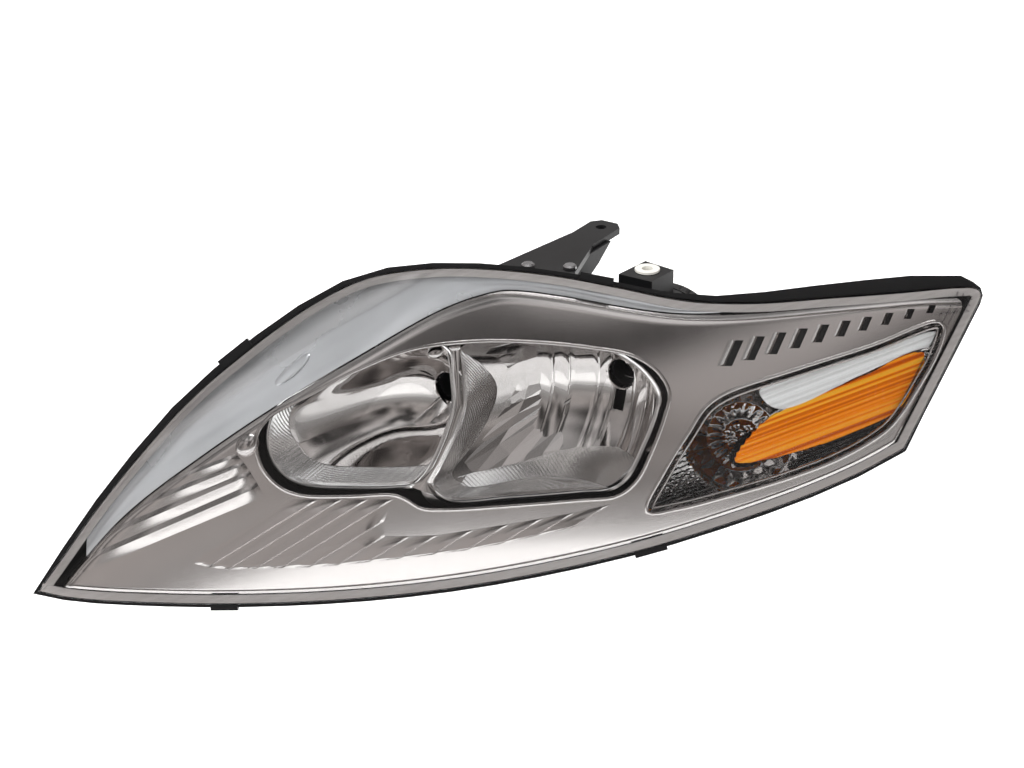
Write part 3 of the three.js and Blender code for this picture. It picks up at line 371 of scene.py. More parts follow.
def turned(place, profile, sides):
    """A ring or disc turned about Y: profile is (radius, distance along Y) points, closed on itself."""
    angle = np.arange(sides) / sides * 2 * math.pi
    circle = np.column_stack([np.cos(angle), np.sin(angle)])
    rings = [in_lamp(radius * circle, float(along)) + np.array(place) for radius, along in profile]
    return np.vstack(rings), ring_faces(sides, len(rings), True)


# ---------------------------------------------------------------- materials
def add(tree, kind, *values, **named):
    """A shader node of a kind. The values and the capitalised names are its inputs, each set to a value or
    linked from another node's output; the other names are its settings."""
    node = tree.nodes.new("ShaderNode" + kind)
    inputs = list(enumerate(values))
    for name, value in named.items():
        if name[0].islower():
            setattr(node, name, value)
        else:
            inputs.append((name.replace("_", " "), value))
    for place, value in inputs:
        if isinstance(value, bpy.types.NodeSocket):
            tree.links.new(value, node.inputs[place])
        else:
            node.inputs[place].default_value = value
    return node


def empty_tree(owner):
    owner.use_nodes = True
    owner.node_tree.nodes.clear()
    return owner.node_tree


def noise(tree, scale, detail=4.0):
    where = add(tree, "TexCoord").outputs["Object"]
    return add(tree, "TexNoise", Vector=where, Scale=scale, Detail=detail).outputs["Fac"]


def color_ramp(tree, share, stops):
    """The colour that a share picks from stops, each a position and a colour."""
    ramp = add(tree, "ValToRGB", share)
    elements = ramp.color_ramp.elements
    elements[0].position, elements[0].color = stops[0][0], (*stops[0][1], 1)
    elements[1].position, elements[1].color = stops[-1][0], (*stops[-1][1], 1)
    for position, color in stops[1:-1]:
        elements.new(position).color = (*color, 1)
    return ramp.outputs["Color"]


def surface(name, color, roughness, metallic=0.0, spread=0.08, grain=900, bump=0.15, tone=0.12, sheen=0.5):
    """A Principled surface whose colour and roughness vary in wide blotches, and whose grain, in cycles a
    metre, is its fine texture."""
    material = bpy.data.materials.new(name)
    tree = empty_tree(material)
    blotch = noise(tree, 14)
    less, more = ((*[min(c * share, 1) for c in color], 1) for share in (1 - tone, 1 + tone))
    tint = add(tree, "MixRGB", blotch, less, more)
    rough = add(tree, "MapRange", blotch, To_Min=max(roughness - spread, 0.02), To_Max=roughness + spread)
    relief = add(tree, "Bump", Strength=bump, Distance=0.0002, Height=noise(tree, grain, 2.0))
    shader = add(tree, "BsdfPrincipled", Base_Color=tint.outputs["Color"], Metallic=metallic,
                 Roughness=rough.outputs["Result"], Specular_IOR_Level=sheen,
                 Normal=relief.outputs["Normal"])
    add(tree, "OutputMaterial", shader.outputs["BSDF"])
    return material


RIB_SLOPE = 0.37  # the indicator's ribs run this far up the face for each step outboard


def dyed_lines(tree, dyes):
    """The colour of lines of several dyes that run along the indicator's ribs."""
    across = FACE @ np.array([-RIB_SLOPE, 1.0, 0.0])
    where = add(tree, "TexCoord").outputs["Object"]
    dot = add(tree, "VectorMath", where, tuple(across), operation="DOT_PRODUCT")
    lines = add(tree, "TexNoise", noise_dimensions="1D", W=dot.outputs["Value"], Scale=260, Detail=3)
    return color_ramp(tree, lines.outputs["Fac"], dyes)


def clear_plastic(name, tint, gloss=0.03, shine=0.45, haze=0.0, dyes=()):
    """A thin clear wall: what is behind it shows through, and more light is reflected at a slant. Haze is
    how much of it is milky or dyed, and the dyes are the colours that run in lines along its ribs."""
    material = bpy.data.materials.new(name)
    tree = empty_tree(material)
    shader = add(tree, "BsdfTransparent", Color=(*tint, 1)).outputs["BSDF"]
    fresnel = add(tree, "Fresnel", IOR=1.5)
    weaker = add(tree, "Math", fresnel.outputs["Fac"], shine, operation="MULTIPLY")
    rough = add(tree, "MapRange", noise(tree, 30), To_Min=gloss * 0.6, To_Max=gloss * 1.4)
    mirror = add(tree, "BsdfGlossy", Roughness=rough.outputs["Result"])
    if haze:
        milk = add(tree, "BsdfDiffuse", Color=dyed_lines(tree, dyes))
        shader = add(tree, "MixShader", haze, shader, milk.outputs["BSDF"]).outputs["Shader"]
    mix = add(tree, "MixShader", weaker.outputs["Value"], shader, mirror.outputs["BSDF"])
    add(tree, "OutputMaterial", mix.outputs["Shader"])
    return material


chrome = surface("bright_metallising", (0.57, 0.545, 0.535), 0.07, 1.0, spread=0.03, bump=0.02, tone=0.03)
bezel_chrome = surface("bezel_metallising", (0.57, 0.54, 0.53), 0.15, 1.0, spread=0.05, bump=0.03, tone=0.08)
knurled = surface("knurled_metallising", (0.93, 0.92, 0.915), 0.2, 1.0, spread=0.06, bump=0.05, tone=0.05)
satin = surface("satin_trim", (0.6, 0.61, 0.63), 0.26, 0.7, spread=0.08, bump=0.05, tone=0.2)
black = surface("black_moulding", (0.007, 0.007, 0.0075), 0.36, spread=0.12, grain=1600, bump=0.3,
                sheen=0.3)
dark = surface("dark_moulding", (0.028, 0.028, 0.03), 0.5, spread=0.1, grain=1600, bump=0.3, sheen=0.35)
rubber = surface("black_rubber", (0.02, 0.02, 0.02), 0.8, spread=0.1, bump=0.4, sheen=0.15)
nylon = surface("white_nylon", (0.72, 0.71, 0.66), 0.45, spread=0.1, bump=0.1, tone=0.04)
steel = surface("spring_steel", (0.55, 0.55, 0.56), 0.28, 1.0, spread=0.1, bump=0.1)
clear = clear_plastic("clear_lens", (0.975, 0.98, 0.98), shine=0.35)
inner_clear = clear_plastic("clear_inner_lens", (0.96, 0.96, 0.96), gloss=0.06, shine=0.25)
milky = clear_plastic("milky_inner_lens", (0.95, 0.95, 0.95), gloss=0.1, haze=0.88,
                      dyes=[(0.35, (0.8, 0.79, 0.79)), (0.6, (1.0, 1.0, 1.0))])
skirt_clear = clear_plastic("lens_skirt", (0.8, 0.77, 0.75), gloss=0.2, shine=0.8, haze=0.75,
                            dyes=[(0.4, (0.34, 0.315, 0.305)), (0.6, (0.37, 0.345, 0.335))])
bulb_glass = clear_plastic("bulb_glass", (0.96, 0.97, 0.98), shine=0.9)
amber = clear_plastic("amber_lens", (1.0, 0.4, 0.02), gloss=0.15, shine=0.25, haze=0.92,
                      dyes=[(0.36, (0.55, 0.09, 0.0)), (0.5, (1.0, 0.25, 0.0)), (0.64, (1.0, 0.48, 0.03))])

# Each of the record's material slots: the finish of its CAD nodes, then the others that its pieces wear.
FINISHES = {
    "black_plastic": [black], "dark_plastic": [dark], "amber_plastic": [amber], "rubber": [rubber],
    "clear_plastic": [clear, inner_clear, milky, skirt_clear], "satin_grey_plastic": [satin],
    "metallised_plastic": [chrome, bezel_chrome, knurled], "nylon": [nylon],
    "spring_steel": [steel], "bulb_glass": [bulb_glass]}


for part in frame["record"]["subparts"]:
    for s in frame["nodes"][part["node"]].material_slots:
        s.material = FINISHES[part["material_slot"]][0]

# ---------------------------------------------------------------- lens
LONG, END, SKIN = 150, 16, 16  # steps along a leaf, up its end, and out from its middle line
lens_edge = outline_of(LENS_LEAF, LONG, END)
lens_rim = lens_height(lens_edge[:, 0], lens_edge[:, 1])


def skin(edge, height, rings):
    spine = spine_of(edge, LONG, END)
    made = []
    for k in range(rings + 1):
        ring = spine + (edge - spine) * (k / rings)
        made.append(on_face(ring, height(ring[:, 0], ring[:, 1])))
    return made


def outer_lens():
    inner = offset(lens_edge, -LENS_WALL)
    body = offset(lens_edge, -0.8)
    outside = skin(body, lens_height, SKIN)
    outside.append(on_face(lens_edge, lens_rim - 1.2))
    outside.append(on_face(lens_edge, lens_rim - LENS_SKIRT))
    outside.append(on_face(inner, lens_rim - LENS_SKIRT))
    inside = skin(inner, lambda u, v: lens_height(u, v) - LENS_WALL, SKIN)
    ring_piece("outer_lens_shell", outside + inside[::-1], clear, "housing",
               replaces=["outer_lens"])


def lens_skirt_band():
    """The lens's foot seen through its rim: a grey, cloudy band all round."""
    rings = []
    for inset, depth in ((0.8, 2.2), (3.3, 3.4), (4.6, 3.6), (6.4, 4.6), (6.6, 6.4), (3.3, 6.4), (0.8, 5.0)):
        ring = offset(lens_edge, -inset)
        rings.append(on_face(ring, lens_rim - depth))
    ring_piece("lens_skirt_band", rings, skirt_clear, "housing", loop=True)


def rod_along(path, radius, sides=8):
    """A thin round rod along points in the lamp's frame, closed at both ends."""
    path = np.asarray(path, float)
    tangent = np.gradient(path, axis=0)
    tangent /= np.linalg.norm(tangent, axis=1)[:, None]
    side = np.cross(tangent, FACE[:, 2])
    side /= np.linalg.norm(side, axis=1)[:, None]
    up = np.cross(side, tangent)
    angle = np.arange(sides) / sides * 2 * math.pi
    rings = [np.tile(path[0], (sides, 1))]
    for p, a, b in zip(path, side, up):
        rings.append(p + radius * (np.outer(np.cos(angle), a) + np.outer(np.sin(angle), b)))
    rings.append(np.tile(path[-1], (sides, 1)))
    return np.vstack(rings), ring_faces(sides, len(rings), False)


def lens_end_lines():
    """Fine moulded lines inside the lens that follow its outboard end."""
    parts = []
    for inset in (9.0, 13.5, 18.0):
        ring = offset(lens_edge, -inset)
        stretch = ring[LONG - 4:LONG + END + 5]
        height = lens_height(stretch[:, 0], stretch[:, 1]) - LENS_WALL - 0.6
        parts.append(rod_along(on_face(stretch, height), 0.55))
    finish_mesh("lens_end_lines", *joined(parts), inner_clear, "housing")


outer_lens()
lens_skirt_band()
lens_end_lines()


# ---------------------------------------------------------------- bezel
LOWER_ROLL = (5.5, 3.2)  # how wide and how deep the bezel rolls back along its lower edge
BROW_ROLL = (9.0, 3.5)  # and along its brow


def bezel_surface(u, v):
    """The bezel's front: it rolls back along its lower edge and its brow."""
    lower = np.clip(1 - (v - lens_lower(u) - 5) / LOWER_ROLL[0], 0, 1.5)
    brow = np.clip(1 - (bezel_upper(u) - v) / BROW_ROLL[0], 0, 1.5)
    return bezel_height(u, v) - LOWER_ROLL[1] * lower**2 - BROW_ROLL[1] * brow**2


SLOT_COUNT = 10


def slot_outlines():
    """The leaning slots over the indicator, which get smaller towards the outboard end."""
    made = []
    for i in range(SLOT_COUNT):
        t = i / (SLOT_COUNT - 1)
        u, v = 162 + 151 * t, 42 + 33 * t
        w, h = (11 - 6 * t) / 2, (19 - 13 * t) / 2
        lean = 0.45 * h
        made.append([
            (u - w - lean, v - h), (u + w - lean, v - h), (u + w + lean, v + h), (u - w + lean, v + h)])
    return made


def bezel():
    edge = outline_of(BEZEL_LEAF, LONG, END)
    top = skin(edge, bezel_surface, 60)
    under = skin(edge, lambda u, v: bezel_surface(u, v) - BEZEL_WALL, 20)
    sheet = ring_piece("bezel_sheet", top + under[::-1], bezel_chrome, "housing",
                       replaces=["bezel"])
    openings = [closed_outline(TWIN_OPENING, 160), closed_outline(INDICATOR_WINDOW, 140)]
    for opening in openings + slot_outlines():
        cut_through(sheet, opening)
    for name, opening in (("bezel_twin_rim", openings[0]), ("bezel_window_rim", openings[1])):
        rolled_rim(name, opening)


def cutter_for(opening):
    """A prism through the face in the shape of an opening."""
    low, high = on_face(opening, -110.0), on_face(opening, 30.0)
    middle = [np.tile(r.mean(axis=0), (len(r), 1)) for r in (low, high)]
    rings = np.vstack([middle[0], low, high, middle[1]])
    return clean_object("cutter", rings, ring_faces(len(low), 4, False), 32)


def cut_through(piece, opening):
    """Cuts an outline on the face straight through a piece."""
    cutter = cutter_for(opening)
    modifier = piece.modifiers.new("cut", "BOOLEAN")
    modifier.operation = "DIFFERENCE"
    modifier.solver = "EXACT"
    modifier.object = cutter
    bpy.context.view_layer.update()
    depsgraph = bpy.context.evaluated_depsgraph_get()
    cut = bpy.data.meshes.new_from_object(piece.evaluated_get(depsgraph))
    piece.modifiers.clear()
    piece.data = cut
    bpy.data.objects.remove(cutter)
    bm = bmesh.new()
    bm.from_mesh(cut)
    shade(bm, 32)
    bm.to_mesh(cut)
    bm.free()


def rolled_rim(name, opening):
    """A rim round an opening: a rounded edge, then a lip that turns back."""
    section = [
        (2.6, -0.2), (1.7, 0.8), (0.6, 1.0), (-0.2, 0.5), (-0.5, -0.6), (-0.5, -5.5), (1.4, -5.5),
        (2.6, -2.4)]
    rings = []
    for out, rise in section:
        ring = offset(opening, out)
        rings.append(on_face(ring, bezel_surface(ring[:, 0], ring[:, 1]) + rise))
    ring_piece(name, rings, bezel_chrome, "housing", loop=True, crease=50)


# Stepped flutes: each lies between two lines on the bezel, rises from the first and drops at the second.
FLUTE_FEET = [
    (-237, -113), (-223, -116.5), (-208, -118), (-188, -117.5), (-169, -117), (-149, -116.5), (-128, -115),
    (-105, -112.5), (-82, -110), (-57, -107), (-32, -103.5), (-6, -98.5), (20, -92.5), (46, -86.5)]
FLUTE_SLOPE = 0.62
LONG_FLUTE_TOP = -66
SHORT_FLUTE_TOP = [(-101, -93.5), (-60, -93.5), (0, -84), (46, -76), (80, -68)]
PANEL_EDGE = ((-101, -93), (-84, -67))  # a smooth panel begins here, above the short flutes
FLUTE_FOOTING = 0.35  # how far even a flute's low edge stands over the sheet
STREAKS = [
    ((-330, -126), (-182, -64)), ((-316, -109), (-188, -53)), ((-296, -88), (-193, -44.5)),
    ((-272, -67), (-198, -38)), ((-250, -49.5), (-203, -32))]


def past_flutes(u, v):
    """Whether a place lies above the flutes or on the smooth panel between the long and the short."""
    (u0, v0), (u1, v1) = PANEL_EDGE
    panel = u > u0 + (u1 - u0) * (v - v0) / (v1 - v0)
    return (v > LONG_FLUTE_TOP) | (panel & (v > np.interp(u, *np.array(SHORT_FLUTE_TOP).T)))


def flute_lines():
    """Each flute's line from its foot up to the boundary above it."""
    lines = []
    for foot in FLUTE_FEET:
        reach = np.linspace(0, 130, 400)
        u = foot[0] + reach
        end = reach[np.argmax(past_flutes(u, foot[1] + FLUTE_SLOPE * reach))]
        lines.append((np.array(foot, float), np.array([foot[0] + end, foot[1] + FLUTE_SLOPE * end])))
    return lines


def flute(first, second, rise, foot_length, head_length, bevel=0.12):
    """The solid of one flute: it rises from its first line and falls in a bevel to its second, and it
    fades in over its foot and out over its head."""
    along = np.linspace(0, 1, 41)[:, None, None]
    across = np.append(np.linspace(0.005, 1 - bevel, 7), [1 - bevel * 0.66, 1 - bevel * 0.33, 0.995])
    across = across[None, :, None]
    a = first[0] + (first[1] - first[0]) * along
    b = second[0] + (second[1] - second[0]) * along
    uv = a + (b - a) * across
    length = np.hypot(*(second[1] - second[0]))
    fade = np.clip(along * length / foot_length, 0, 1) * np.clip((1 - along) * length / head_length, 0, 1)
    share = np.minimum((across / (1 - bevel)) ** 1.3, (1 - across) / bevel)
    lift = rise * (fade * share)[:, :, 0]
    ground = bezel_surface(uv[:, :, 0], uv[:, :, 1])
    return slab(face_grid(uv, ground + lift + FLUTE_FOOTING), face_grid(uv, ground - 0.8))


def bezel_flutes():
    lines = flute_lines()
    parts = []
    for i in range(len(lines) - 1):
        parts.append(flute(lines[i], lines[i + 1], 1.9, 3, 16))
    finish_mesh("bezel_flutes", *joined(parts), bezel_chrome, "housing", crease=20)
    streaks = [(np.array(a, float), np.array(b, float)) for a, b in STREAKS]
    parts = []
    for i in range(len(streaks) - 1):
        parts.append(flute(streaks[i], streaks[i + 1], 2.6, 60, 12, 0.34))
    finish_mesh("bezel_streaks", *joined(parts), bezel_chrome, "housing", crease=20)


def raised_boss(name, centre, along, across, slope, rise, material, ground, body="housing"):
    """A smooth oval boss on a surface over the face."""
    angle = np.linspace(0, 2 * math.pi, 49)[:-1]
    turn = math.atan(slope)
    rings = []
    for share in (1.08, 1.0, 0.9, 0.75, 0.55, 0.3, 0.0):
        x, y = along * share * np.cos(angle), across * share * np.sin(angle)
        u = centre[0] + x * math.cos(turn) - y * math.sin(turn)
        v = centre[1] + x * math.sin(turn) + y * math.cos(turn)
        lift = rise * math.sqrt(max(1 - share**2, 0)) if share <= 1 else -1.0
        rings.append(on_face(np.column_stack([u, v]), ground(u, v) + lift))
    base = np.column_stack([np.full(48, centre[0]), np.full(48, centre[1])])
    rings.insert(0, on_face(base, ground(base[:, 0], base[:, 1]) - 1.2))
    ring_piece(name, rings, material, body, crease=50)


def slot_details():
    """In each slot a narrow bright facet slopes down from its inboard edge; behind them is a black strip,
    which is painted shade standing in for the shade inside the slots.
    """
    parts = []
    for outline in slot_outlines():
        corners = np.array(outline)
        low, high = corners[0], corners[3]
        width = corners[1][0] - corners[0][0]
        up = np.linspace(0, 1, 5)[:, None, None]
        across = np.linspace(0, 1, 5)[None, :, None]
        step = np.array([width * 0.5, 0.0])
        uv = (low + (high - low) * up) + (across - 0.04) * step
        ground = bezel_surface(uv[:, :, 0], uv[:, :, 1])
        fall = 3.0 * across[:, :, 0] ** 1.2
        parts.append(slab(face_grid(uv, ground - fall + 0.1), face_grid(uv, ground - fall - 1.0)))
    finish_mesh("bezel_slot_facets", *joined(parts), chrome, "housing")
    # painted shade: a black strip behind the slots makes their insides read dark
    t = np.linspace(-0.06, 1.05, 60)
    up = np.linspace(-1, 1, 5)[:, None]
    u = 162 + 151 * t[None, :] + 0.45 * up * 9
    v = 42 + 33 * t[None, :] + up * (13 - 8 * t[None, :]) * 0.9
    uv = np.dstack([np.broadcast_to(u, v.shape), v])
    behind = bezel_surface(uv[:, :, 0], uv[:, :, 1]) - 5.6
    finish_mesh("bezel_slot_painted_shade", *slab(face_grid(uv, behind), face_grid(uv, behind - 1.0)), black,
                "housing")


bezel()
bezel_flutes()
slot_details()
raised_boss("bezel_round_boss", (-195, -26), 9.5, 7.5, 1.2, 4.5, bezel_chrome, bezel_surface)


# ---------------------------------------------------------------- upper trim panel
def trim_surface(u, t):
    """The panel's front, from the brow at t = 0 to the lens's upper edge at t = 1."""
    tilt_low = np.hypot(1, bezel_upper(u + 1) - bezel_upper(u))
    tilt_high = np.hypot(1, lens_upper(u + 1) - lens_upper(u))
    foot = bezel_upper(u) + tilt_low
    head = lens_upper(u) - 5.5 * tilt_high
    low_h = bezel_height(u, foot) - 3.0
    high_h = lens_height(u, lens_upper(u)) - LENS_SKIRT + 1
    v = foot + (head - foot) * t
    return v, low_h + (high_h - low_h) * t + 16 * t * (1 - t) * np.clip((head - foot) / 40, 0.15, 1)


def trim_panel():
    u = np.linspace(-315, 155, 200)[None, :]
    t = np.linspace(0, 1, 25)[:, None]
    v, height = trim_surface(u, t)
    uv = np.dstack([np.broadcast_to(u, v.shape), v])
    finish_mesh("upper_trim_panel_shell", *slab(face_grid(uv, height), face_grid(uv, height - 2)), satin,
                "housing", replaces=["upper_trim_panel"])


def trim_height(u, v):
    """The panel's front as a height over the face, for what stands on it."""
    share = np.linspace(0, 1, 60)[:, None]
    at_v, height = trim_surface(np.asarray(u)[None, :], share)
    found = [np.interp(v[k], at_v[:, k], height[:, k]) for k in range(len(v))]
    return np.array(found)


trim_panel()
raised_boss("trim_almond_boss", (-162, 30), 17, 4.5, 0.9, 3.0, satin, trim_height)


# ---------------------------------------------------------------- beam reflectors
LINER = 1.4  # the fine bright skins stand this far in front of the CAD's bowls


def rim_in_lamp(corners, count):
    """A reflector's rim in the lamp's frame: its outline seen along Y, and its Y."""
    ring = closed_outline(corners, count)
    points = on_face(ring, rim_height(ring[:, 0], ring[:, 1]))
    return points[:, [0, 2]], points[:, 1]


def dish(beam, x, z):
    return beam["y"] - ((x - beam["x"]) ** 2 + (z - beam["z"]) ** 2) / (4 * beam["focal"]) - LINER


def saw(phase):
    return 2 * np.abs(phase - np.floor(phase) - 0.5)


def arc_length(xz):
    step = np.hypot(*np.diff(np.vstack([xz, xz[:1]]), axis=0).T)
    return np.concatenate([[0], np.cumsum(step)])[:-1]


def knurled_wall(name, xz, y_deep, y_front, rows, pitch, depth, taper=0.0):
    """A wall from deep to front with fine slanting ridges, ending in the rim's lip."""
    s = arc_length(xz)
    rings = []
    for k in range(rows + 1):
        t = k / rows
        y = y_deep + (y_front - y_deep) * t
        ridge = depth * saw((s + (y_front - y)) / pitch) * min(1, 6 * (1 - t), 12 * t + 0.2)
        ring = offset(xz, -(ridge + taper * (1 - t)))
        rings.append(in_lamp(ring, y))
    rings += [in_lamp(offset(xz, out), y_front + rise)
              for out, rise in ((0.3, -0.9), (1.2, -0.3), (2.0, -1.0), (3.4, -1.0), (4.1, -0.2), (4.2, 4.0))]
    faces = [face[::-1] for face in ring_faces(len(xz), len(rings), False)]
    finish_mesh(name, np.vstack(rings), faces, knurled, "reflector_unit", crease=25, sheet=0.5)


FACET_LINES = [-58, -33, -22, -12, -2, 17, 28, 47, 60, 70, 82]  # the low beam's upright facets, in X
FACET_DEPTH = 1.1


def facet_columns():
    """X of the grid's columns: each facet's own, with both sides of every line between two facets."""
    columns = []
    for a, b in zip(FACET_LINES, FACET_LINES[1:]):
        columns += list(np.linspace(a + 0.15, b - 0.15, 13))
    return np.array(columns)


def facet_relief(x):
    """How far each facet bulges forwards, with a thin ridge along each line."""
    lines = np.array(FACET_LINES, float)
    k = np.clip(np.searchsorted(lines, x, side="right") - 1, 0, len(lines) - 2)
    a, b = lines[k], lines[k + 1]
    across = (x - (a + b) / 2) / ((b - a) / 2)
    lean = np.where(k % 2 == 0, 0.5, -0.35) * across
    return FACET_DEPTH * (1 - across**2) + lean + 0.5 * (np.abs(across) > 0.93)


def low_beam():
    xz, y_front = rim_in_lamp(LOW_RIM, 760)
    wall = offset(xz, -1.3)
    y_edge = np.maximum(dish(LOW, wall[:, 0], wall[:, 1]), y_front + 2)
    knurled_wall("low_beam_knurled_wall", wall, y_edge, y_front, 56, 2.6, 0.55)
    grid = clamped_grid(wall[::4], facet_columns(), rows_over(wall, 1.6))
    x, z = grid[:, :, 0], grid[:, :, 1]
    y = dish(LOW, x, z) - facet_relief(x)
    points = np.dstack([x, y, z]).reshape(-1, 3)
    faces = grid_faces(*x.shape)
    radius = LOW["hole"] + 0.6
    faces = [f for f in faces if not in_bulb_hole(points[list(f)].mean(axis=0), LOW, radius)]
    finish_mesh("low_beam_facets", points, faces, chrome, "reflector_unit", crease=16, sheet=0.6)


SLOT_BELOW_HOLE = (30.0, 40.0, -28.0, -10.0)  # x and z of the slot under the low beam's bulb hole


def in_bulb_hole(p, beam, radius):
    if math.hypot(p[0] - beam["x"], p[2] - beam["z"]) < radius:
        return True
    x0, x1, z0, z1 = SLOT_BELOW_HOLE
    return beam is LOW and x0 < p[0] < x1 and z0 < p[2] < z1


SHELF_LINE = [(-52, -66), (-31, -63), (-13, -60), (12, -54), (46, -48.5), (66, -49.5), (76, -47)]


def low_beam_shelf():
    """The knurled shelf in the bottom of the low beam's bowl."""
    line = np.array(SHELF_LINE, float)
    wall = offset(rim_in_lamp(LOW_RIM, 300)[0], -2.2)
    x = np.linspace(-46, 74, 240)
    top = np.interp(x, line[:, 0], line[:, 1])
    under = wall[np.argsort(wall[:, 0], kind="stable")]
    under = under[under[:, 1] < -40]
    bottom = np.minimum(np.interp(x, under[:, 0], under[:, 1]), top - 0.5)
    t = np.linspace(0, 1, 46)[:, None]
    z = bottom[None, :] + (top - bottom)[None, :] * t
    xs = np.broadcast_to(x[None, :], z.shape)
    reach = (top[None, :] - z)
    y = dish(LOW, xs, np.broadcast_to(top[None, :], z.shape)) - 2.1 * reach - 0.9
    y = y - 0.6 * saw((xs * 0.8 + z * 1.3 + y * 0.4) / 2.8) * np.clip(reach / 2, 0, 1)
    points = np.dstack([xs, y, z]).reshape(-1, 3)
    finish_mesh("low_beam_shelf", points, grid_faces(*z.shape), knurled, "reflector_unit", crease=25,
                sheet=0.5)


RIDGES = [(95, 112, 1.3), (112, 128, 1.8), (128, 143, 1.5), (143, 156, 1.0)]  # degrees from, to, rise


def ridge_relief(angle, radius):
    """Ridges that fan out from the high beam's bulb hole, up and inboard."""
    relief = np.zeros_like(angle)
    for start, end, rise in RIDGES:
        across = (np.degrees(angle) - start) / (end - start)
        inside = (across > 0) & (across < 1)
        relief = np.where(inside, rise * across, relief)
    return relief * np.clip((radius - 12) / 30, 0, 1)


def high_beam():
    count, rows = 560, 60
    xz, y_front = rim_in_lamp(HIGH_RIM, count)
    wall = offset(xz, -1.3)
    y_edge = np.maximum(dish(HIGH, wall[:, 0], wall[:, 1]), y_front + 2)
    reach = np.minimum(26, (y_edge - y_front) * 0.85)
    knurled_wall("high_beam_knurled_band", wall, y_front + reach, y_front, 30, 2.6, 0.5, taper=5.0)
    band_end = offset(wall, -5.0)
    angle = np.arctan2(band_end[:, 1] - HIGH["z"], band_end[:, 0] - HIGH["x"])
    radius = HIGH["hole"] + 0.5
    eye = np.column_stack([HIGH["x"] + radius * np.cos(angle), HIGH["z"] + radius * np.sin(angle)])
    rings = []
    for k in range(rows + 1):
        t = k / rows
        place = eye + (band_end - eye) * t
        blend = t**5
        y = dish(HIGH, place[:, 0], place[:, 1]) * (1 - blend) + (y_front + reach) * blend
        out = np.hypot(place[:, 0] - HIGH["x"], place[:, 1] - HIGH["z"])
        y = y - ridge_relief(angle, out) * (1 - t**6)
        rings.append(in_lamp(place, y))
    faces = [face[::-1] for face in ring_faces(count, len(rings), False)]
    finish_mesh("high_beam_bowl_skin", np.vstack(rings), faces, chrome, "reflector_unit", crease=18,
                sheet=0.5)


STRIP = ((-77, -21), (-101, -52), 4.5)  # the bright strip below the high beam's hole: ends, half width


def high_beam_strip():
    a, b = np.array(STRIP[0], float), np.array(STRIP[1], float)
    side = np.array([(b - a)[1], -(b - a)[0]]) / np.hypot(*(b - a))
    along = np.linspace(0, 1, 40)[:, None, None]
    across = np.linspace(-1, 1, 9)[None, :, None]
    xz = a + (b - a) * along + side * STRIP[2] * across
    y = dish(HIGH, xz[:, :, 0], xz[:, :, 1]) - 1.6 - 0.8 * (1 - across[:, :, 0] ** 2)
    top = np.dstack([xz[:, :, 0], y, xz[:, :, 1]])
    bottom = top + np.array([0, 2.6, 0])
    finish_mesh("high_beam_strip", *slab(top, bottom), chrome, "reflector_unit")


def bulb_collar(name, beam, sleeve):
    """A bright edge round a bulb hole, and a black sleeve in the seat behind it."""
    r = beam["hole"]
    place = (beam["x"], beam["y"] - LINER, beam["z"])
    edge = [
        (r + 2.4, 0.6), (r + 2.0, -1.0), (r + 1.0, -1.7), (r + 0.1, -1.2), (r + 0.1, 1.2), (r + 2.0, 1.6)]
    finish_mesh(name, *turned(place, edge, 72), chrome, "reflector_unit", crease=50)
    tube = [(r + 0.9, 5.0), (r - 0.6, 5.0), (r - 1.0, 6.0), (r - 1.0, 15.0), (r + 0.9, 15.0)]
    finish_mesh(sleeve, *turned(place, tube, 72), black, "reflector_unit", slot="rubber")


BRIDGE_LOW = [(-26, 58), (-37, 47), (-36, 25), (-35, 3), (-42, -20), (-52, -41), (-59, -55), (-54, -64)]
BRIDGE_HIGH = [(-54, 52), (-47, 44), (-43.5, 25), (-42.5, 3), (-49, -20), (-59, -42), (-68, -52), (-74, -57)]


def beam_bridge():
    """The bright ridge where the two bowls meet."""
    t = np.linspace(0, 1, len(BRIDGE_LOW))
    rows = np.linspace(1, 0, 80)
    a = np.column_stack([np.interp(rows, t, np.array(BRIDGE_HIGH)[:, k]) for k in (0, 1)])[:, None, :]
    b = np.column_stack([np.interp(rows, t, np.array(BRIDGE_LOW)[:, k]) for k in (0, 1)])[:, None, :]
    across = np.linspace(0, 1, 13)[None, :, None]
    uv = a + (b - a) * across
    ridge = 1.4 * (1 - np.abs(2 * across[:, :, 0] - 1) ** 1.5)
    height = rim_height(uv[:, :, 0], uv[:, :, 1]) + 0.6 + ridge
    finish_mesh("beam_bridge", *slab(face_grid(uv, height), face_grid(uv, height - 1.6)), chrome,
                "reflector_unit")


LIP_GAP = (88, -46, 17)  # where the low beam's lip is cut short and a dark gap shows: u, v and radius


def low_beam_lip():
    """A flat lip that runs out from the low beam's rim behind the bezel."""
    ring = closed_outline(LOW_RIM, 240)
    ring = ring[(ring[:, 0] > -38) | (ring[:, 1] < -52)]
    start = np.argmax(np.hypot(*np.diff(np.vstack([ring, ring[:1]]), axis=0).T)) + 1
    ring = np.roll(ring, -start, axis=0)
    short = np.clip((np.hypot(ring[:, 0] - LIP_GAP[0], ring[:, 1] - LIP_GAP[1]) - LIP_GAP[2]) / 6, 0, 1)
    rows = []
    for share in np.linspace(0, 1, 4):
        line = offset(ring, 3.4 + (0.8 + 5.2 * short) * share)
        rows.append(on_face(line, rim_height(line[:, 0], line[:, 1]) - 0.4 - 1.6 * share))
    top = np.array(rows)[::-1, 1:-1]
    behind = top + FACE[:, 2] * -1.2
    finish_mesh("low_beam_lip", *slab(top, behind), knurled, "reflector_unit")


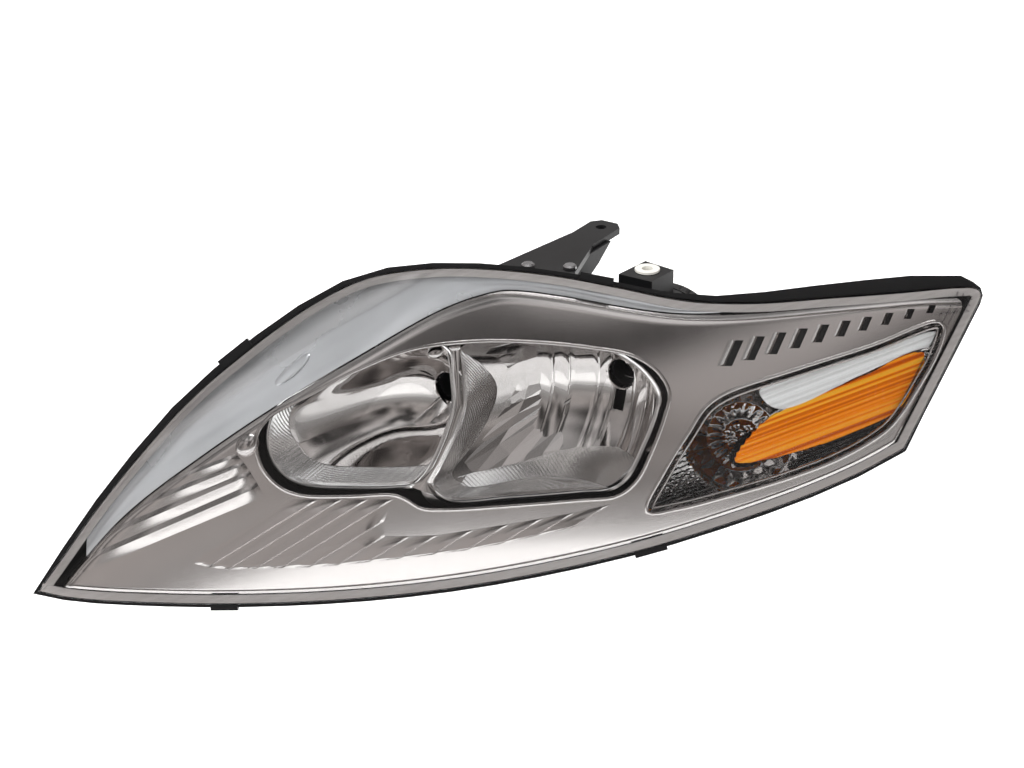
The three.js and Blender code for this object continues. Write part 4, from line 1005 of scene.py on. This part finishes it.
low_beam()
low_beam_shelf()
low_beam_lip()
beam_bridge()
for side, centre in (("left", (-56, 43)), ("right", (-41, 48))):
    raised_boss("beam_boss_" + side, centre, 6.5, 5.0, 0.4, 3.4, chrome, rim_height, body="reflector_unit")
high_beam()
high_beam_strip()
bulb_collar("low_bulb_hole_edge", LOW, "low_bulb_seat_sleeve")
bulb_collar("high_bulb_hole_edge", HIGH, "high_bulb_seat_sleeve")

# ---------------------------------------------------------------- indicator
BULB_BOWL = (172, -20, 44)  # the round bowl at the inboard end of the indicator: u, v and radius
BULB_AXIS = (128, -52)  # the bulb's axis, x and z


def edge_distance(uv, outline):
    """How far each grid point is from an outline."""
    flat = uv.reshape(-1, 2)
    gaps = [np.min(np.hypot(flat[k:k + 2000, None, 0] - outline[None, :, 0],
                            flat[k:k + 2000, None, 1] - outline[None, :, 1]), axis=1)
            for k in range(0, len(flat), 2000)]
    return np.concatenate(gaps).reshape(uv.shape[:2])


def over_window(inset, step):
    outline = offset(closed_outline(INDICATOR_WINDOW, 320), -inset)
    columns = np.arange(outline[:, 0].min(), outline[:, 0].max(), step * 2)
    return outline, clamped_grid(outline, columns, rows_over(outline, step))


def ribs(u, v, pitch, rise):
    return rise * saw((v - RIB_SLOPE * u) / pitch)


def indicator_reflector():
    """A round faceted bowl by the bulb, and ribbed floors that run out from it."""
    outline, uv = over_window(-3.0, 0.8)
    u, v = uv[:, :, 0], uv[:, :, 1]
    above = v - (0.44 * (u - 184) - 6)
    floor = 13 + np.where(above > 0, 0.55 * above, -0.12 * above)
    radius = np.hypot(u - BULB_BOWL[0], v - BULB_BOWL[1])
    hollow = np.clip(1 - (radius / BULB_BOWL[2]) ** 2, 0, 1)
    sector = np.arctan2(v - BULB_BOWL[1], u - BULB_BOWL[0]) / (2 * math.pi) * 20 % 1 - 0.5
    band = radius / 13 % 1 - 0.5
    pillow = 1.5 * (1 - 4 * sector**2) * (1 - 4 * band**2)
    depth = np.where(radius < BULB_BOWL[2], 15 + 26 * hollow - pillow, floor - ribs(u, v, 3.6, 0.8))
    ramp = np.clip(edge_distance(uv, outline) / 7, 0, 1)
    depth = 6.2 + (depth - 6.2) * ramp
    points = face_grid(uv, bezel_height(u, v) - depth).reshape(-1, 3)
    faces = [f for f in grid_faces(*u.shape)
             if np.hypot(*(points[list(f)].mean(axis=0)[[0, 2]] - BULB_AXIS)) > 11.5]
    finish_mesh("indicator_reflector_skin", points, faces, chrome, "housing", crease=22, sheet=1.0,
                replaces=["indicator_reflector"])


def ribbed_sheet(name, grid, depth, pitch, rise, material, thickness, **options):
    """A ribbed sheet behind the bezel's front."""
    u, v = grid[:, :, 0], grid[:, :, 1]
    height = bezel_height(u, v) - depth + ribs(u, v, pitch, rise)
    finish_mesh(name, face_grid(grid, height).reshape(-1, 3), grid_faces(*u.shape), material, "housing",
                crease=20, sheet=thickness, **options)


def strip_grid(corners):
    outline = closed_outline(corners, 200)
    columns = np.arange(outline[:, 0].min(), outline[:, 0].max(), 1.6)
    return clamped_grid(outline, columns, rows_over(outline, 0.6))


WHITE_STRIP = [(197, 1), (258, 25), (296, 42.5), (314, 49), (318, 58), (268, 43), (214, 26.5), (184, 14)]


def indicator_lenses():
    """The clear inner lens, the amber band behind it, and the milky strip above the band."""
    ribbed_sheet("indicator_inner_lens_skin", over_window(1.0, 0.75)[1], 1.4, 3.0, 0.5, inner_clear, 1.4,
                 replaces=["indicator_inner_lens"])
    ribbed_sheet("indicator_amber_band", strip_grid(AMBER_BAND), 4.6, 3.6, 0.9, amber, 1.8,
                 replaces=["indicator_amber_filter"])
    ribbed_sheet("indicator_white_strip", strip_grid(WHITE_STRIP), 4.4, 3.0, 0.6, milky, 1.2)


def indicator_frame():
    """A second bright line just inside the window's rim."""
    ring = offset(closed_outline(INDICATOR_WINDOW, 200), -4.0)
    rings = []
    for out, rise in ((0.9, -0.6), (0.6, 0.3), (0.0, 0.7), (-0.6, 0.3), (-0.9, -0.6)):
        line = offset(ring, out)
        rings.append(on_face(line, bezel_height(line[:, 0], line[:, 1]) + rise - 0.2))
    ring_piece("indicator_frame_line", rings, bezel_chrome, "housing", loop=True, crease=50)


indicator_reflector()
indicator_lenses()
indicator_frame()

# ---------------------------------------------------------------- the back of the lamp
BACK_H = -83.0  # the housing's back wall, on the face
FLANGE_DEPTH = 8.0
COLLAR_WALL = 3.0
REAR_OPENINGS = {"low": (35, 168, 0, 37), "high": (-74, 98, -10, 34)}  # x, y of its end, z and radius
MOTOR_FACE = (-14, 124.4, -62)  # the middle of the levelling motor's back face
VENTS = ((-150, -52), (178, 12))


def tub_rings():
    """The outlines that the housing's sides run through, from its flange to its back wall."""
    edge = offset(lens_edge, -2.0)
    made = [(edge, lens_rim - LENS_SKIRT - FLANGE_DEPTH)]
    for along, across, share in ((0.93, 0.84, 0.5), (0.8, 0.62, 1.0)):
        middle = middle_v(edge[:, 0])
        across_v = middle + (edge[:, 1] - middle) * across
        ring = np.column_stack([edge[:, 0] * along + 50 * (1 - along), across_v])
        made.append((ring, made[0][1] * (1 - share) + BACK_H * share))
    return made


def side_rib(rings, i, rise=3.0, width=2.4):
    """A rib that runs down the housing's side and turns over onto its back wall."""
    top, bottom = [], []
    for k, (ring, height) in enumerate(rings):
        along = ring[(i + 1) % len(ring)] - ring[i - 1]
        along /= np.hypot(*along)
        out = np.array([along[1], -along[0]])
        lift = 0.0 if k < 2 else -rise * 0.7
        sides = [-along * width / 2, along * width / 2]
        top.append([(*(ring[i] + out * rise * min(k + 0.2, 1) + side), height[i] + lift) for side in sides])
        bottom.append([(*(ring[i] - out * 1.2 + side), height[i] + (2 if k == 2 else 0)) for side in sides])
    return slab(np.array(top) @ FACE.T, np.array(bottom) @ FACE.T)


def wall_bar(a, b, rise=2.6, width=2.2):
    """A straight rib on the back wall, from one place on the face to another."""
    a, b = np.array(a, float), np.array(b, float)
    side = np.array([-(b - a)[1], (b - a)[0]]) / math.dist(a, b) * width / 2
    corners = np.array([[a - side, b - side], [a + side, b + side]])
    flat = np.full((2, 2), BACK_H)
    inner = np.dstack([corners, flat + 1.0])
    middle = corners.mean(axis=(0, 1))
    outer = np.dstack([middle + (corners - middle) * 0.98, flat - rise])
    return slab(inner @ FACE.T, outer @ FACE.T)


def housing_ribs():
    rings = tub_rings()
    count = len(lens_edge)
    parts = [side_rib(rings, i) for i in range(14, count, 9) if not LONG - 2 < i < LONG + END + 3]
    back = rings[2][0]
    for first, last in ((-240, -112), (160, 268)):
        stations = np.linspace(first, last, 7)
        spans = crossings(back[:, ::-1], stations)
        for u, (low, high) in zip(stations, spans):
            if min(abs(u - at) for at, _ in VENTS) > 12:
                parts.append(wall_bar((u, low + 5), (u, high - 5)))
        for share in (0.2, 0.8):
            levels = spans[:, 0] + (spans[:, 1] - spans[:, 0]) * share
            for k in range(len(stations) - 1):
                parts.append(wall_bar((stations[k], levels[k]), (stations[k + 1], levels[k + 1])))
    finish_mesh("housing_ribs", *joined(parts), black, "housing", crease=30)


def superellipse(x, y, half_x, half_y, count=48, power=5):
    """A box with well rounded corners, as a closed outline."""
    angle = np.arange(count) / count * 2 * math.pi
    c, s = np.cos(angle), np.sin(angle)
    return np.column_stack([x + half_x * np.sign(c) * np.abs(c) ** (2 / power),
                            y + half_y * np.sign(s) * np.abs(s) ** (2 / power)])


GRIPS = 36  # how many grip flutes run round a rear cover's skirt


def rear_cover(name):
    """A push-on cover: a fluted skirt, a stepped face with ribs that radiate, and a slotted pull tab."""
    x, y, z, opening = REAR_OPENINGS[name]
    r, y = opening + COLLAR_WALL, y + 1
    count = GRIPS * 6
    angle = np.arange(count) / count * 2 * math.pi
    flute_in = 0.9 * np.maximum(saw(angle / (2 * math.pi) * GRIPS) * 1.6 - 0.6, 0)
    section = [
        (0, 8, 0), (r + 3.4, 8, 0), (r + 3.4, 0, 0), (r + 6, 0, 0), (r + 6, 1.6, 0), (r + 6, 2.4, 1),
        (r + 6, 8.2, 1), (r + 5.4, 9.6, 0), (r + 4, 11, 0), (r + 1, 11, 0), (r, 10, 0), (r - 6, 10, 0),
        (r - 7, 11, 0), (9, 11, 0), (8, 10.2, 0), (0, 10.2, 0)]
    rings = []
    for radius, along, fluted in section:
        reach = radius - fluted * flute_in
        rings.append(np.column_stack([x + reach * np.cos(angle), np.full(count, y + along),
                                      z + reach * np.sin(angle)]))
    parts = [(np.vstack(rings), ring_faces(count, len(rings), False))]
    for k in range(12):
        turn = math.radians(15 + 30 * k)
        out = np.array([math.cos(turn), math.sin(turn)])
        side = np.array([-out[1], out[0]])
        grid = np.array([[out * 11 + side * w, out * (r - 8) + side * w] for w in (-0.9, 0.9)])
        base = np.dstack([x + grid[:, :, 0], np.full((2, 2), y + 10.6), z + grid[:, :, 1]])
        parts.append(slab(base, base + np.array([0, 1.5, 0])))
    outer, slot = superellipse(x, y + 15, r * 0.55, 6), superellipse(x, y + 16, r * 0.25, 2.6)
    loop = [np.column_stack([ring, np.full(len(ring), z + up)])
            for ring, up in ((outer, 1.1), (slot, 1.5), (slot, -1.5), (outer, -1.1))]
    parts.append((np.vstack(loop), ring_faces(len(outer), 4, True)))
    finish_mesh(name + "_beam_cover_shell", *joined(parts), black, name + "_cover", crease=28,
                replaces=[name + "_beam_cover"])


def motor_details():
    """Screws in the motor's back face and ribs on its sides."""
    x, y, z = MOTOR_FACE
    head = [(0, -0.6), (2.7, -0.6), (2.7, 0.9), (2.1, 1.5), (1.3, 1.5), (1.1, 0.5), (0, 0.5)]
    screws = [turned((x + sx * 15.4, y, z + sz * 18.4), head, 24) for sx in (-1, 1) for sz in (-1, 1)]
    finish_mesh("motor_screws", *joined(screws), steel, "housing", crease=30)
    parts = []
    for k in range(6):
        level = z + 15 - 5.2 * k
        for side in (-1, 1):
            near, far = x + side * 18.7, x + side * 20.0
            inner = np.array([[[near, y - 28, level], [near, y - 4, level]],
                              [[near, y - 28, level + 2], [near, y - 4, level + 2]]])
            outer = inner + np.array([far - near, 0, 0])
            parts.append(slab(inner, outer))
    finish_mesh("motor_ribs", *joined(parts), dark, "housing")


housing_ribs()
rear_cover("low")
rear_cover("high")
motor_details()

# ---------------------------------------------------------------- light, floor and camera
floor_z = cad_low.z - 0.12


def stage():
    bpy.ops.mesh.primitive_plane_add(size=30, location=(0, 0, floor_z))
    floor = bpy.context.object
    floor.name = "floor"
    material = bpy.data.materials.new("pale_floor")
    tree = empty_tree(material)
    shader = add(tree, "BsdfDiffuse", Color=(0.9, 0.9, 0.9, 1))
    glow = add(tree, "Emission", Strength=0.55)
    both = add(tree, "AddShader", shader.outputs["BSDF"], glow.outputs["Emission"])
    add(tree, "OutputMaterial", both.outputs["Shader"])
    floor.data.materials.append(material)


def area_light(name, place, target, size, energy, reflected=True):
    light = bpy.data.lights.new(name, "AREA")
    light.shape = "RECTANGLE"
    light.size, light.size_y = size
    light.energy = energy
    lamp = bpy.data.objects.new(name, light)
    lamp.location = place
    lamp.rotation_euler = (Vector(target) - Vector(place)).to_track_quat("-Z", "Y").to_euler()
    lamp.visible_glossy = reflected
    bpy.context.scene.collection.objects.link(lamp)


# The studio round the lamp, from the horizon up: how high (the sine of the elevation) and its colour.
STUDIO = [
    (0.0, (0.6, 0.585, 0.58)), (0.12, (0.42, 0.395, 0.385)), (0.3, (0.3, 0.275, 0.265)),
    (0.6, (0.33, 0.31, 0.305)), (0.82, (0.48, 0.46, 0.455)), (1.0, (0.66, 0.65, 0.65))]
PANELS = [(0.38, 0.25), (0.5, 0.95), (0.64, 1.9)]  # how the darker and lighter panels scale it


def world():
    made = bpy.data.worlds.new("studio")
    tree = empty_tree(made)
    where = add(tree, "TexCoord").outputs["Generated"]
    level = add(tree, "SeparateXYZ", where).outputs["Z"]
    height = color_ramp(tree, level, STUDIO)
    patches = add(tree, "TexNoise", Vector=where, Scale=2.6, Detail=1.0)
    panels = color_ramp(tree, patches.outputs["Fac"], [(at, (grey, grey, grey)) for at, grey in PANELS])
    scaled = add(tree, "MixRGB", 1.0, height, panels, blend_type="MULTIPLY")
    above = add(tree, "MapRange", level, From_Min=0.1, From_Max=0.22)
    chosen = add(tree, "MixRGB", above.outputs["Result"], height, scaled.outputs["Color"])
    background = add(tree, "Background", chosen.outputs["Color"])
    add(tree, "OutputWorld", background.outputs["Background"])
    bpy.context.scene.world = made


CAMERA_DISTANCE = 3.0
FRAME_WIDTH = 0.758  # how much of the lamp's plane the picture spans


def camera():
    data = bpy.data.cameras.new("camera")
    data.sensor_width = 36
    data.lens = 36 * CAMERA_DISTANCE / FRAME_WIDTH
    data.clip_end = 100
    made = bpy.data.objects.new("camera", data)
    target = Vector(tuple((on_face([(0.7, 19.2)], -30.0)[0] - ORIGIN) / 1000))
    axes = Matrix([list(row) for row in FACE])
    made.matrix_world = Matrix.Translation(target + axes.col[2] * CAMERA_DISTANCE) @ axes.to_4x4()
    bpy.context.scene.collection.objects.link(made)
    bpy.context.scene.camera = made


stage()
world()
camera()
area_light("key", (-1.2, -1.6, 1.8), (0, -0.15, -0.1), (2.6, 1.6), 80, reflected=False)
area_light("fill", (1.6, -1.4, 0.9), (0, -0.15, -0.1), (1.6, 1.6), 25, reflected=False)
area_light("back", (-0.6, 1.5, 2.4), (0, 0, -0.1), (1.8, 1.2), 40)
bpy.context.scene.view_settings.view_transform = "Standard"
